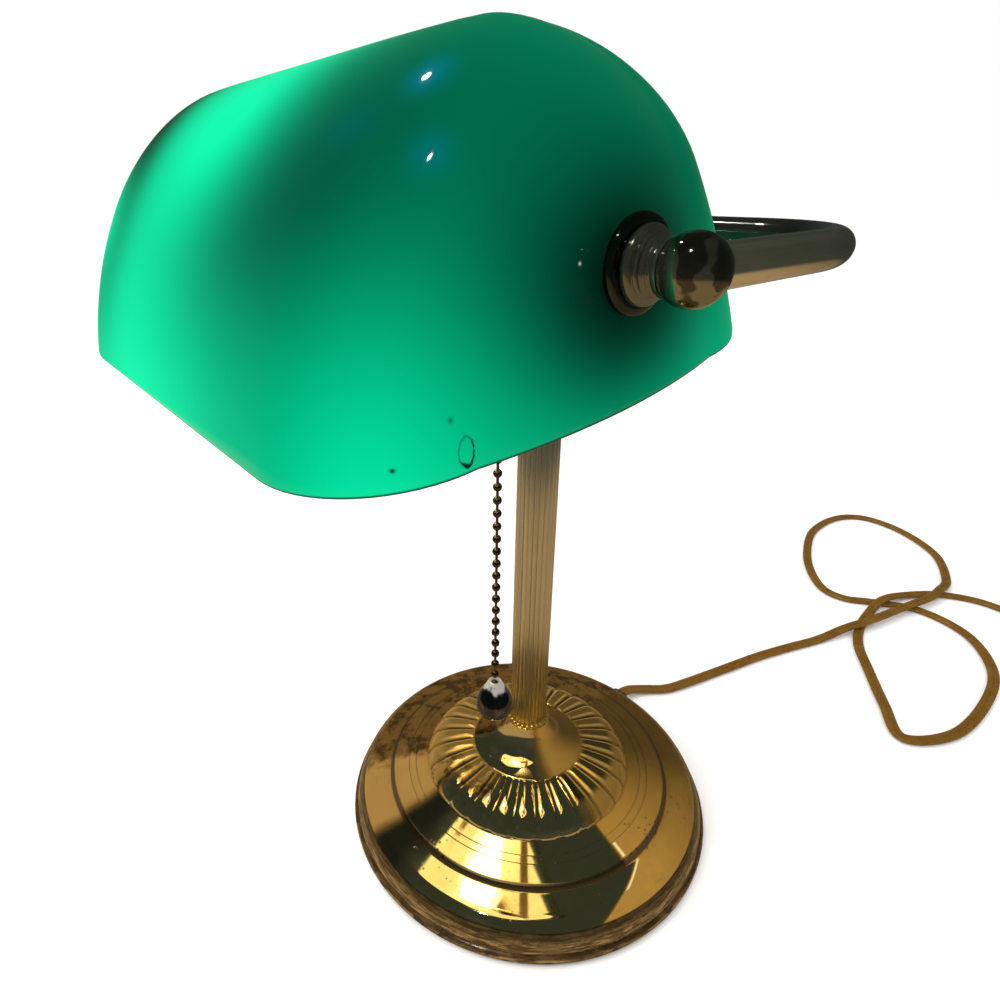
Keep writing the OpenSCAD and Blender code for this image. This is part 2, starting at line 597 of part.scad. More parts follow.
// teardrop pull
module chain_pull_end() color([0.75, 0.76, 0.78]) translate([chain_x, -socket_reach, chain_last])
    rotate_extrude() polygon([
        [0, -bead_radius - 0.35], [1.0, -bead_radius - 0.35], [1.9, -bead_radius + 0.9],
        [2.3, -bead_radius + 0.8], [2.7, -bead_radius - 0.4],
        [3.6, -4.0], [4.9, -6.0], [6.0, -8.2], [6.55, -10.1], [pull_radius, -12.0],
        [6.55, -13.7], [5.95, -15.3], [4.9, -16.8], [3.5, -17.9], [1.8, -18.6], [0, -18.8]
    ]);

// frosted bulb, its screw cap and contact
module bulb_glass() color([1, 0.96, 0.86]) at_socket() rotate_extrude($fn = 72) polygon(concat(
    [for (a = [0:10:130]) [bulb_radius * sin(a), -35 - bulb_radius * cos(a)]],
    [[18.6, -8.4], [15.4, 0.5], [13.6, 8], [12.9, 14], [12.6, 20.8], [11.6, 20.8],
     [11.9, 14], [12.6, 7.8], [14.4, 0.2], [17.5, -9.2]],
    [for (a = [130:-10:0]) [(bulb_radius - 1) * sin(a), -35 - (bulb_radius - 1) * cos(a)]]
));
module bulb_cap() color([0.78, 0.78, 0.76]) at_socket() rotate_extrude($fn = 60) polygon([
    [0, 21.2], [cap_radius - 0.1, 21.2], [cap_radius, 22.6], [cap_radius, 24.2], [12.3, 25.4],
    [12.3, 26.2], [cap_radius, 27.4], [cap_radius, 28], [12.3, 29.1], [12.3, 29.8],
    [cap_radius, 31], [cap_radius, 31.6], [12.3, 32.7], [12.3, 33.4], [cap_radius, 34.6],
    [cap_radius, 35.2], [12.2, 36.4], [11.6, 39.6], [8, 42.6], [5.2, 43.4], [0, 43.4]
]);
module bulb_contact() color([0.70, 0.70, 0.70]) at_socket() translate([0, 0, 43.4])
    cylinder(h = bulb_tip - 43.4, r = 4.6);

// cord: the flat cable leaves the back of the foot and is laid on the table
cord_exit = 96.9;
exit_z = 5.2;
lead_floor = cord_thick / 2 + 0.05;
lead_over = lead_floor + cord_thick + 0.5;
module cord_place() rotate([0, 0, cord_exit]) translate([foot_radius - 2, 0, exit_z]) children();
module cord_bushing() color([0.16, 0.12, 0.08]) cord_place() rotate([90, 0, 90]) difference() {
    union() {
        translate([0, 0, -3.2]) linear_extrude(6.6) stadium(9.6, 6.0);
        translate([0, 0, 2.5]) linear_extrude(1.3) stadium(11.4, 7.4);
    }
    translate([0, 0, -5]) linear_extrude(12) stadium(cord_width + 0.2, cord_thick + 0.2);
}

cord_route = [
    [-12, 98.8, exit_z], [-12.7, 104.8, exit_z], [-12, 112, 4.2], [-7, 122, 2.4], [2, 135, lead_floor],
    [8, 154, lead_floor], [16, 186, lead_floor], [24, 218, lead_floor], [33, 246, lead_floor],
    [42, 272, lead_floor], [50, 298, lead_over - 1], [56, 315, lead_over], [60, 329, lead_over],
    [68, 364, lead_over], [75, 392, lead_over], [76, 412, lead_over], [72, 442, lead_floor],
    [50, 482, lead_floor], [16, 506, lead_floor], [-16, 512, lead_floor], [-36, 502, lead_floor],
    [-46, 476, lead_floor], [-44, 436, lead_floor], [-28, 388, lead_floor], [-11, 357, lead_floor],
    [8, 339, lead_floor], [28, 342, lead_floor], [46, 357, lead_floor], [76, 374, lead_floor],
    [112, 366, lead_floor], [138, 332, lead_floor], [146, 288, lead_floor], [143, 242, lead_floor],
    [124, 214, lead_floor], [100, 230, lead_floor], [78, 262, lead_floor], [64, 286, lead_floor],
    [56, 310, lead_floor], [52, 334, lead_floor + 1], [52, 360, lead_over],
    [60, 388, lead_floor + 1], [78, 413, lead_floor], [108, 427, lead_floor],
    [150, 420, lead_floor], [194, 400, lead_floor], [230, 364, lead_floor],
    [252, 322, lead_floor]
];
tail_route = [
    [259, 300, lead_floor], [260, 288, lead_floor], [258, 276, lead_floor + 0.2], [254, 265, 2.8],
    [252, 255, 3.3], [252, 248, 3.3]
];
// smooth curve through a route, with one more point in each long stretch
function route_at(route, k, t) =
    let (n = len(route), a = route[max(k - 1, 0)], b = route[k],
         c = route[min(k + 1, n - 1)], d = route[min(k + 2, n - 1)])
    0.5 * (2 * b + (c - a) * t + (2 * a - 5 * b + 4 * c - d) * t * t
           + (3 * b - a - 3 * c + d) * t * t * t);
function route_points(route) = concat(
    [for (k = [0:len(route) - 2])
        for (t = norm(route[k + 1] - route[k]) > 22 ? [0, 0.5] : [0]) route_at(route, k, t)],
    [route[len(route) - 1]]);
function side_at(points, i) =
    let (a = points[max(i - 1, 0)], b = points[min(i + 1, len(points) - 1)],
         d = [b[0] - a[0], b[1] - a[1]])
    [d[1], -d[0], 0] / norm(d);
module flat_cord(points) {
    n = len(points);
    pts = [for (i = [0:n - 1]) for (s = [0:7])
        points[i] + side_at(points, i) * (cord_width / 2 * cos(45 * s + 22.5) / cos(22.5))
            + [0, 0, cord_thick / 2 * sin(45 * s + 22.5) / cos(22.5)]];
    polyhedron(pts, concat(
        [for (i = [0:n - 2]) for (s = [0:7]) [i * 8 + s, i * 8 + (s + 1) % 8, (i + 1) * 8 + s]],
        [for (i = [0:n - 2]) for (s = [0:7])
            [i * 8 + (s + 1) % 8, (i + 1) * 8 + (s + 1) % 8, (i + 1) * 8 + s]],
        [[for (s = [7:-1:0]) s]],
        [[for (s = [0:7]) (n - 1) * 8 + s]]
    ));
}
module cord_lead() color([0.72, 0.52, 0.24]) flat_cord(route_points(cord_route));
module cord_tail() color([0.72, 0.52, 0.24]) flat_cord(route_points(tail_route));

// coil of spare cord, wound and tied
coil_x = 226;
coil_y = 300;
coil_mid = 34;
module cord_coil() color([0.72, 0.52, 0.24]) translate([coil_x, coil_y, 0]) rotate_extrude($fn = 72)
    polygon([
        [coil_mid - 5.4, 0.5], [coil_mid + 5.4, 0.5], [coil_mid + 6.2, 1.4], [coil_mid + 5.6, 4.8],
        [coil_mid + 3.4, 8.0], [coil_mid - 3.4, 8.0], [coil_mid - 5.6, 4.8], [coil_mid - 6.2, 1.4]
    ]);
module cord_tie() color([0.08, 0.08, 0.08]) translate([coil_x, coil_y, 0]) rotate([0, 0, 200])
    translate([coil_mid, 2.5, 0]) rotate([90, 0, 0]) linear_extrude(5) difference() {
        polygon([
            [-6.4, 0.02], [6.4, 0.02], [7.6, 1.3], [6.9, 5.3], [4.2, 9.1], [-4.2, 9.1], [-6.9, 5.3],
            [-7.6, 1.3]
        ]);
        polygon([
            [-5.9, 0.42], [5.9, 0.42], [6.9, 1.4], [6.3, 5.1], [3.8, 8.3], [-3.8, 8.3], [-6.3, 5.1],
            [-6.9, 1.4]
        ]);
    }

// flat two blade plug lying beside the coil
plug_x = 252;
plug_y = 228;
module plug_body() color([0.70, 0.52, 0.26]) translate([plug_x, plug_y, 0]) difference() {
    union() {
        translate([-13, -14, 0.1]) cube([26, 18, 10]);
        translate([-8, 4, 0.1]) cube([16, 8, 8]);
        translate([-5, 12, 0.6]) cube([10, 8, 5.4]);
    }
    for (s = [-1, 1]) translate([s * 6.35 - 0.8, -15, 1.9]) cube([1.6, 12, 6.4]);
    for (s = [-1, 1]) translate([s * 13, -5, 0]) cylinder(h = 12, r = 1.6, $fn = 24);
}
module plug_blades() color([0.82, 0.70, 0.40]) translate([plug_x, plug_y, 0])
    for (s = [-1, 1]) translate([s * 6.35 - 0.75, -14 - 16, 1.95]) difference() {
        cube([1.5, 26, 6.3]);
        translate([-1, 5, 3.15]) rotate([0, 90, 0]) cylinder(h = 4, r = 1.5, $fn = 24);
    }

// helpers
module tube(r1, r2, h) difference() {
    cylinder(h = h, r = r1);
    translate([0, 0, -1]) cylinder(h = h + 2, r = r2);
}
module stadium(w, h) {
    square([w - h, h], center = true);
    for (s = [-1, 1]) translate([s * (w - h) / 2, 0]) circle(r = h / 2, $fn = 32);
}
// local Z runs out along the pivot line
module at_pivot() translate([0, -pivot_reach, pivot_height]) rotate([0, 90, 0]) children();
module at_socket() translate([0, -socket_reach, socket_height]) rotate([0, 90, 0]) children();
module both_ends() for (s = [0, 1]) mirror([s, 0, 0]) children();

base_shell();
base_pad();
base_weight();
base_washer();
base_nut();
gadroon_dome();
neck_flare();
stem_foot_ring();
stem_tube();
stem_cap();
lamp_pipe();
neck_sleeve();
arm_hub();
hub_finial();
shade_arm();
arm_ball_near();
arm_ball_far();
pivot_collar_near();
pivot_collar_far();
outer_disc_near();
outer_disc_far();
pivot_stud_near();
pivot_stud_far();
spring_washers();
clamp_nuts();
pivot_bushes();
rubber_washers();
shade_casing();
shade_lining();
socket_bracket();
socket_nipple();
socket_locknut();
socket_cap();
socket_shell();
socket_liner();
switch_block();
screw_shell();
centre_contact();
terminal_screws();
chain_guide();
switch_lever();
lever_pin();
chain_top();
pull_chain();
chain_pull_end();
bulb_glass();
bulb_cap();
bulb_contact();
cord_bushing();
cord_lead();
cord_tail();
cord_coil();
cord_tie();
plug_body();
plug_blades();
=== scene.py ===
"""Looks, camera and light of the bankers lamp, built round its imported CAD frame."""

import json
import logging
import math
from dataclasses import dataclass
from enum import Enum
from typing import Callable, Dict, List, Optional, Sequence, Tuple

import bmesh
import bpy
from mathutils import Matrix, Quaternion, Vector


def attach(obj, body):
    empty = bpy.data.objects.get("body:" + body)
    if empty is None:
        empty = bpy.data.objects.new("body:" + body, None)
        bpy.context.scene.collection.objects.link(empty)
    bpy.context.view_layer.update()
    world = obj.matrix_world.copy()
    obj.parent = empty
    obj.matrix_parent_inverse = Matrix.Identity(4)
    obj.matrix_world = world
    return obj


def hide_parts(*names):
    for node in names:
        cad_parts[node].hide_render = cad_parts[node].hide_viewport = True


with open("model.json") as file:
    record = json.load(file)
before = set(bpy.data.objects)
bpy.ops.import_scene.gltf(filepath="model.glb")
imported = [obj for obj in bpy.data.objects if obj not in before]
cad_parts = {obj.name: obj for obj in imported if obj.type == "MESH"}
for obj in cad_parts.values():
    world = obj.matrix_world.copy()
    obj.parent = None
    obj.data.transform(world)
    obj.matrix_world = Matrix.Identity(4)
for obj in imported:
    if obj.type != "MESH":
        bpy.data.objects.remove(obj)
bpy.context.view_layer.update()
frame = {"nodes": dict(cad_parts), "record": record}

MM = 0.001
LOG = logging.getLogger("bankers_lamp")
Point = Tuple[float, float, float]
Profile = Sequence[Tuple[float, float]]


class Body(str, Enum):
    """CAD bodies that the pieces ride on."""

    STAND = "stand"
    SHADE = "shade"
    CHAIN_TOP = "chain_top"
    PULL_CHAIN = "pull_chain"
    BULB = "bulb"


# ------------------------------------------------------------------ shader maths


class Socket:
    """One shader value that can be used in a Python expression."""

    def __init__(self, graph: "Graph", out: bpy.types.NodeSocket) -> None:
        self.graph = graph
        self.out = out

    def _maths(self, kind: str, *values: object) -> "Socket":
        return self.graph.maths(kind, *values)

    def __add__(self, other: object) -> "Socket":
        return self._maths("ADD", self, other)

    __radd__ = __add__

    def __sub__(self, other: object) -> "Socket":
        return self._maths("SUBTRACT", self, other)

    def __rsub__(self, other: object) -> "Socket":
        return self._maths("SUBTRACT", other, self)

    def __mul__(self, other: object) -> "Socket":
        return self._maths("MULTIPLY", self, other)

    __rmul__ = __mul__

    def __truediv__(self, other: object) -> "Socket":
        return self._maths("DIVIDE", self, other)

    def __rtruediv__(self, other: object) -> "Socket":
        return self._maths("DIVIDE", other, self)

    def __pow__(self, other: object) -> "Socket":
        return self._maths("POWER", self, other)

    def __neg__(self) -> "Socket":
        return self._maths("MULTIPLY", self, -1.0)

    def clamp(self) -> "Socket":
        """Returns the value limited to 0..1."""
        node = self.graph.node("ShaderNodeClamp", {0: self})
        return Socket(self.graph, node.outputs[0])

    def exp(self) -> "Socket":
        """Returns e to the power of the value."""
        return self._maths("EXPONENT", self)

    def step(self, low: float, high: float) -> "Socket":
        """Returns a smooth step that is 0 at low and 1 at high."""
        node = self.graph.node("ShaderNodeMapRange", {0: self, 1: low, 2: high, 3: 0.0, 4: 1.0})
        node.interpolation_type = "SMOOTHSTEP"
        return Socket(self.graph, node.outputs[0])


class Graph:
    """Node tree of one material or world, filled by Python expressions."""

    def __init__(self, tree: bpy.types.NodeTree) -> None:
        self.tree = tree
        tree.nodes.clear()

    def node(self, kind: str, inputs: Optional[Dict[object, object]] = None, **settings: object) -> bpy.types.Node:
        """Makes a node.

        Args:
            kind: Node type, such as ShaderNodeTexNoise.
            inputs: Input name or index to a Socket or a constant.
            settings: Properties of the node itself.

        Returns:
            The new node.
        """
        made = self.tree.nodes.new(kind)
        for key, value in settings.items():
            setattr(made, key, value)
        for key, value in (inputs or {}).items():
            target = made.inputs[key]
            if isinstance(value, Socket):
                self.tree.links.new(value.out, target)
            else:
                target.default_value = value
        return made

    def maths(self, kind: str, *values: object) -> Socket:
        """Returns one Math node applied to sockets or numbers."""
        node = self.node("ShaderNodeMath", dict(enumerate(values)), operation=kind)
        return Socket(self, node.outputs[0])

    def object_point(self) -> Socket:
        """Returns the object coordinates, in metres."""
        return Socket(self, self.node("ShaderNodeTexCoord").outputs["Object"])

    def axes(self, point: Socket) -> Tuple[Socket, Socket, Socket]:
        """Returns the three parts of a vector."""
        node = self.node("ShaderNodeSeparateXYZ", {0: point})
        return tuple(Socket(self, node.outputs[i]) for i in range(3))

    def noise(self, point: Socket, scale: float, detail: float = 3.0, roughness: float = 0.5) -> Socket:
        """Returns a noise value around 0.5."""
        node = self.node(
            "ShaderNodeTexNoise",
            {"Vector": point, "Scale": scale, "Detail": detail, "Roughness": roughness},
        )
        return Socket(self, node.outputs[0])

    def spots(self, point: Socket, scale: float, randomness: float = 1.0) -> Socket:
        """Returns the distance to the nearest cell centre."""
        node = self.node(
            "ShaderNodeTexVoronoi", {"Vector": point, "Scale": scale, "Randomness": randomness}
        )
        return Socket(self, node.outputs["Distance"])

    def mix(self, share: object, low: Sequence[float], high: Sequence[float]) -> Socket:
        """Returns a colour between low and high. Either may be a Socket."""
        node = self.node("ShaderNodeMix", data_type="RGBA")
        for key, value in ((0, share), (6, low), (7, high)):
            if isinstance(value, Socket):
                self.tree.links.new(value.out, node.inputs[key])
            elif key == 0:
                node.inputs[key].default_value = value
            else:
                node.inputs[key].default_value = (*value, 1.0)
        return Socket(self, node.outputs[2])

    def combine(self, x: object, y: object, z: object) -> Socket:
        """Returns a vector made of three values."""
        node = self.node("ShaderNodeCombineXYZ", {0: x, 1: y, 2: z})
        return Socket(self, node.outputs[0])

    def bump(self, height: Socket, strength: float, distance: float) -> Socket:
        """Returns a bumped normal."""
        node = self.node("ShaderNodeBump", {"Strength": strength, "Distance": distance, "Height": height})
        return Socket(self, node.outputs[0])


def principled(name: str, constants: Dict[str, object]) -> Tuple[bpy.types.Material, Graph, bpy.types.Node]:
    """Makes a material with one Principled shader.

    Args:
        name: Name of the material.
        constants: Input name to its fixed value.

    Returns:
        The material, its graph and the shader node.
    """
    material = bpy.data.materials.new(name)
    material.use_nodes = True
    graph = Graph(material.node_tree)
    shader = graph.node("ShaderNodeBsdfPrincipled", dict(constants))
    output = graph.node("ShaderNodeOutputMaterial")
    material.node_tree.links.new(shader.outputs[0], output.inputs[0])
    return material, graph, shader


def feed(graph: Graph, shader: bpy.types.Node, **values: Socket) -> None:
    """Links values to the shader's inputs, named with underscores for blanks."""
    for key, value in values.items():
        graph.tree.links.new(value.out, shader.inputs[key.replace("_", " ")])


# ------------------------------------------------------------------ finishes


@dataclass(frozen=True)
class Brass:
    """Polished, lacquered brass with brown tarnish, stains and dark spots.

    The foot is clean in one sector round the lamp and dull in the rest; its low wall is stained. Painted shade darkens
    the left part of the clean sector and the foot's right and back sides, and a painted reflection line bounds the
    clean sector. On the dome, painted highlights and painted dark reflections follow the lobes; on the arm, the rear
    part is darkened as painted shade.
    """

    name: str
    colour: Point = (0.84, 0.70, 0.42)
    # tone of the tarnish film, and on the arm also of its painted rear shade
    wear_and_shade: Point = (0.38, 0.212, 0.055)
    warm: Point = (0.46, 0.245, 0.042)
    back: Point = (0.150, 0.076, 0.015)
    # share of the warm tone left on the right and back, a painted shade
    back_shade_level: float = 0.20
    shadow: float = 0.75
    roughness: float = 0.05
    tarnish: float = 0.3
    spots: float = 0.5
    dull: float = 0.0
    haze: float = 0.8
    clean: Tuple[float, float] = (-101.0, -8.0)
    # the foot's back side, outside this sector, takes a painted shade with darker blotches
    front_sector: Tuple[float, float] = (-130.0, 95.0)
    wall_top: float = 0.0150
    soft: float = 4.5
    veil: float = 0.0
    lobes: int = 0
    rear_shade: float = 0.0
    rub: float = 0.14
    banded: bool = False
    mottle: float = 0.0

    def _sector(self, azimuth: Socket, ends: Tuple[float, float], soft: float) -> Socket:
        """Returns 1 inside a sector given in degrees and 0 outside it."""
        low, high = ends
        return azimuth.step(low - soft, low + soft) * (1.0 - azimuth.step(high - soft, high + soft))

    def _bands(self, g: Graph, degrees: Socket, radius: Socket) -> Tuple[Socket, Socket, Socket]:
        """Returns the far edge of the clean sector, a painted reflection line along it and the dark kinks of the bands.

        Args:
            g: The material's graph.
            degrees: Azimuth in degrees.
            radius: Distance from the lamp's axis in metres.

        Returns:
            Three values from 0 to 1.
        """
        far = radius * 1000.0
        outer = far.step(78.6, 79.4)
        slant = (87.4 - far) * 1.39 - 10.0
        off = degrees - (slant * outer + (1.0 - outer) * -3.5)
        on_band = outer * (1.0 - far.step(86.6, 87.3)) + (far.step(68.0, 68.6) * (1.0 - far.step(75.4, 76.0)))
        # painted reflection: a thin bright line along the far edge of the clean sector
        line = (1.0 - g.maths("ABSOLUTE", off).step(0.35, 1.1)) * on_band
        kinks = (1.0 - g.maths("ABSOLUTE", far - 67.75).step(0.15, 0.5)) + (
            1.0 - g.maths("ABSOLUTE", far - 63.85).step(0.15, 0.5)
        )
        return 1.0 - off.step(-3.0, -0.4), line, kinks

    def _lobed(self, g: Graph, turn: Socket, radius: Socket, side: Socket) -> Socket:
        """Returns the dull tone with painted highlights along the lobes' outlines, painted dark reflections filling
        their middles (heavier on the right) and dark grooves between them.

        Args:
            g: The material's graph.
            turn: Azimuth in radians.
            radius: Distance from the lamp's axis in metres.
            side: The tone without lobes.

        Returns:
            The tone with lobes.
        """
        across = 0.5 - g.maths("COSINE", turn * float(self.lobes)) * 0.5
        top = radius.step(0.0300, 0.0330) * (1.0 - radius.step(0.0455, 0.0500))
        azimuth = turn * (180.0 / math.pi)
        right = azimuth.step(-35.0, -12.0) * (1.0 - azimuth.step(45.0, 80.0))
        # painted reflection: dark fill over the middle of each lobe, heavier on the right
        side = g.mix(across.step(0.45, 0.75) * top * (0.35 + right * 0.65), side, (0.060, 0.052, 0.012))
        # painted highlight: gold band along each lobe's outline
        side = g.mix(across.step(0.05, 0.25) * (1.0 - across.step(0.35, 0.65)) * top * 0.85, side, (0.66, 0.42, 0.12))
        side = g.mix((1.0 - across.step(0.01, 0.12)) * (0.45 + top * 0.4), side, (0.060, 0.034, 0.010))
        front = azimuth.step(-125.0, -105.0) * (1.0 - azimuth.step(-62.0, -40.0)) * radius.step(0.036, 0.041)
        mottle = g.noise(g.object_point(), 170.0, 4.0, 0.7).step(0.46, 0.60)
        return g.mix(mottle * front * 0.8, side, (0.016, 0.010, 0.003))

    def build(self) -> bpy.types.Material:
        """Returns the material."""
        material, g, shader = principled(self.name, {"IOR": 1.45})
        point = g.object_point()
        x, y, z = g.axes(point)
        cloud = g.noise(point, 22.0, 4.0, 0.6)
        fine = g.noise(point, 130.0, 3.0, 0.6)
        film = (cloud * 0.75 + fine * 0.25).step(0.47, 0.72) * self.tarnish + self.veil
        tone: object = self.colour
        cell = g.spots(point, 330.0)
        patch = g.noise(point, 48.0, 2.0).step(0.50, 0.62)
        dots = (1.0 - cell.step(0.10, 0.26)) * patch * self.spots
        if self.dull:
            turn = g.maths("ARCTAN2", y, x)
            radius = g.maths("SQRT", x * x + y * y)
            azimuth = turn * (180.0 / math.pi) + (cloud - 0.5) * 9.0
            clean = self._sector(azimuth, self.clean, self.soft)
            line: object = 0.0
            if self.banded:
                edge, line, kinks = self._bands(g, turn * (180.0 / math.pi), radius)
                clean = self._sector(azimuth, (self.clean[0], 40.0), self.soft) * edge
                dots = dots + kinks * 0.3
            if self.lobes:
                clean = clean * (1.0 - (1.0 - radius.step(0.0440, 0.0490)) * (1.0 - azimuth.step(-78.0, -62.0)) * 0.9)
            # mask of the back side, outside the front sector
            back_side = 1.0 - self._sector(azimuth + (fine - 0.5) * 26.0, self.front_sector, 5.0)
            wall = 1.0 - z.step(self.wall_top - 0.0008, self.wall_top + 0.0006)
            film = (film * 0.5 + (1.0 - clean) * self.dull + wall).clamp()
            streak = g.noise(g.combine(x * 0.5, y * 0.5, z * 5.5), 190.0, 5.0, 0.7)
            blotch = g.noise(point, 95.0, 5.0, 0.7).step(0.46, 0.60)
            brown = g.mix(streak.step(0.40, 0.62), (0.055, 0.030, 0.008), (0.300, 0.185, 0.065))
            brown = g.mix(blotch * 0.6, brown, (0.075, 0.040, 0.012))
            brown = g.mix(z.step(0.0098, 0.0132) * 0.78, brown, (0.030, 0.018, 0.004))
            brown = g.mix(z.step(0.0040, 0.0048) * (1.0 - z.step(0.0052, 0.0062)) * 0.7, brown, (0.030, 0.014, 0.003))
            # painted shade: the back side takes a darker brown, with darker blotches in it
            back_shade_and_blotches = g.mix(blotch, self.back, tuple(c * 0.36 for c in self.back))
            # painted shade: the warm tone dims to this share from the right round to the back
            dark = tuple(c * self.back_shade_level for c in self.warm)
            wear_and_shade = g.mix(azimuth.step(-60.0, -30.0), self.wear_and_shade, self.warm)
            wear_and_shade = g.mix((azimuth.step(-4.0, 64.0) + (cloud - 0.5) * 0.4).clamp(), wear_and_shade, dark)
            side = g.mix((wall * 6.0).clamp(), g.mix(back_side, wear_and_shade, back_shade_and_blotches), brown)
            if self.lobes:
                side = self._lobed(g, turn, radius, side)
            # painted shade: a dark wedge over the left part of the clean sector, azimuth below about -85 degrees
            shade = (1.0 - azimuth.step(-91.0, -78.0)) * self.shadow
            tone = g.mix(shade, tone, tuple(c * 0.1 for c in self.colour))
            tone = g.mix((film * 2.5).clamp(), tone, side)
            # painted reflection: the bright gold line of the clean sector's far edge
            tone = g.mix(line, tone, (0.93, 0.72, 0.30))
            film = g.maths("MAXIMUM", film, line)
            low = 1.0 - z.step(0.0045, 0.0060)
            dots = dots + low * g.noise(point, 190.0, 3.0).step(0.55, 0.62) * 0.9
            seam = radius.step(0.0759, 0.0768) * (1.0 - radius.step(0.0784, 0.0791))
            dots = dots + seam * 0.85
        else:
            # painted shade: the tube darkens towards its rear cross member, fully from y -10 mm back
            film = (film + y.step(-0.075, -0.010) * self.rear_shade).clamp()
            tone = g.mix(film, tone, self.wear_and_shade)
            cloudy = g.noise(point, 190.0, 2.0, 0.4).step(0.49, 0.55) * self.mottle
            tone = g.mix(cloudy, tone, (0.030, 0.026, 0.018))
        dots = dots.clamp()
        tone = g.mix(dots, tone, (0.030, 0.018, 0.007))
        feed(
            g,
            shader,
            Base_Color=tone,
            Metallic=(1.0 - film * film * self.haze).clamp(),
            Roughness=(self.roughness + film * self.rub + dots * 0.35).clamp(),
            Normal=g.bump(g.noise(point, 60.0, 2.0), 0.05, 0.0004),
        )
        return material


@dataclass(frozen=True)
class SatinTube:
    """Even satin brass of the reeded stem, darker towards its top, with painted shade in the reed grooves, heaviest
    near its foot.
    """

    name: str
    colour: Point = (0.86, 0.78, 0.60)
    dark: Point = (0.60, 0.56, 0.44)
    groove_shade: Point = (0.50, 0.44, 0.31)
    top: Point = (0.72, 0.69, 0.60)
    low: Point = (0.86, 0.69, 0.34)
    roughness: float = 0.20

    def build(self) -> bpy.types.Material:
        """Returns the material."""
        material, g, shader = principled(self.name, {"Metallic": 1.0})
        point = g.object_point()
        x, y, z = g.axes(point)
        along = g.noise(g.combine(x, y, z * 0.006), 420.0, 2.0)
        azimuth = g.maths("ARCTAN2", y, x)
        ridge = (g.maths("COSINE", azimuth * 24.0) * 0.5 + 0.5).step(0.02, 0.55)
        tone = g.mix(along.step(0.35, 0.65), self.colour, self.dark)
        tone = g.mix(z.step(0.15, 0.24) * 0.8, tone, self.top)
        # painted shade: darker tone in the grooves between the reeds, fading upward from the foot
        tone = g.mix(ridge, g.mix(z.step(0.05, 0.10) * 0.7, self.groove_shade, tone), tone)
        feed(
            g,
            shader,
            Base_Color=g.mix(z.step(0.055, 0.105), self.low, tone),
            Roughness=self.roughness + along * 0.12,
        )
        return material


@dataclass(frozen=True)
class PlainMetal:
    """One even metal with a faint cloud in its gloss."""

    name: str
    colour: Point
    roughness: float = 0.25
    scale: float = 90.0

    def build(self) -> bpy.types.Material:
        """Returns the material."""
        material, g, shader = principled(self.name, {"Metallic": 1.0})
        point = g.object_point()
        cloud = g.noise(point, self.scale, 3.0)
        dark = tuple(c * 0.72 for c in self.colour)
        feed(
            g,
            shader,
            Base_Color=g.mix(cloud.step(0.35, 0.7), self.colour, dark),
            Roughness=self.roughness + cloud * 0.12,
        )
        return material


@dataclass(frozen=True)
class PullChrome:
    """Worn chrome of the teardrop pull: a painted pale highlight at its top, dark and cloudy below."""

    name: str
    top: float
    colour: Point = (0.070, 0.074, 0.088)
    highlight_tone: Point = (0.50, 0.47, 0.45)
    cloudy: Point = (0.30, 0.25, 0.27)
    roughness: float = 0.03

    def build(self) -> bpy.types.Material:
        """Returns the material."""
        material, g, shader = principled(self.name, {"Metallic": 1.0})
        point = g.object_point()
        z = g.axes(point)[2]
        cloud = g.noise(point, 260.0, 3.0)
        height = z + (cloud - 0.5) * 0.008
        # painted highlight: the top of the pull turns pale and less metallic
        top_highlight = height.step((self.top - 4.9) * MM, (self.top - 2.9) * MM)
        feed(
            g,
            shader,
            Base_Color=g.mix(top_highlight, g.mix(cloud.step(0.52, 0.70) * 0.6, self.colour, self.cloudy), self.highlight_tone),
            Metallic=1.0 - top_highlight * 0.75,
            Roughness=self.roughness + cloud * 0.05 + top_highlight * 0.1,
        )
        return material


@dataclass(frozen=True)
class Plastic:
    """Plain moulded plastic, rubber, fibre, felt or iron."""

    name: str
    colour: Point
    roughness: float = 0.5
    grain: float = 400.0
    relief: float = 0.15

    def build(self) -> bpy.types.Material:
        """Returns the material."""
        material, g, shader = principled(self.name, {})
        point = g.object_point()
        grain = g.noise(point, self.grain, 2.0)
        light = tuple(min(1.0, c * 1.35 + 0.01) for c in self.colour)
        feed(
            g,
            shader,
            Base_Color=g.mix(grain.step(0.3, 0.7), self.colour, light),
            Roughness=(self.roughness + (grain - 0.5) * 0.2).clamp(),
            Normal=g.bump(grain, self.relief, 0.0003),
        )
        return material


@dataclass(frozen=True)
class Lobe:
    """One soft patch of light or shade on the glass, in millimetres."""

    level: float
    centre: Point
    reach: Point


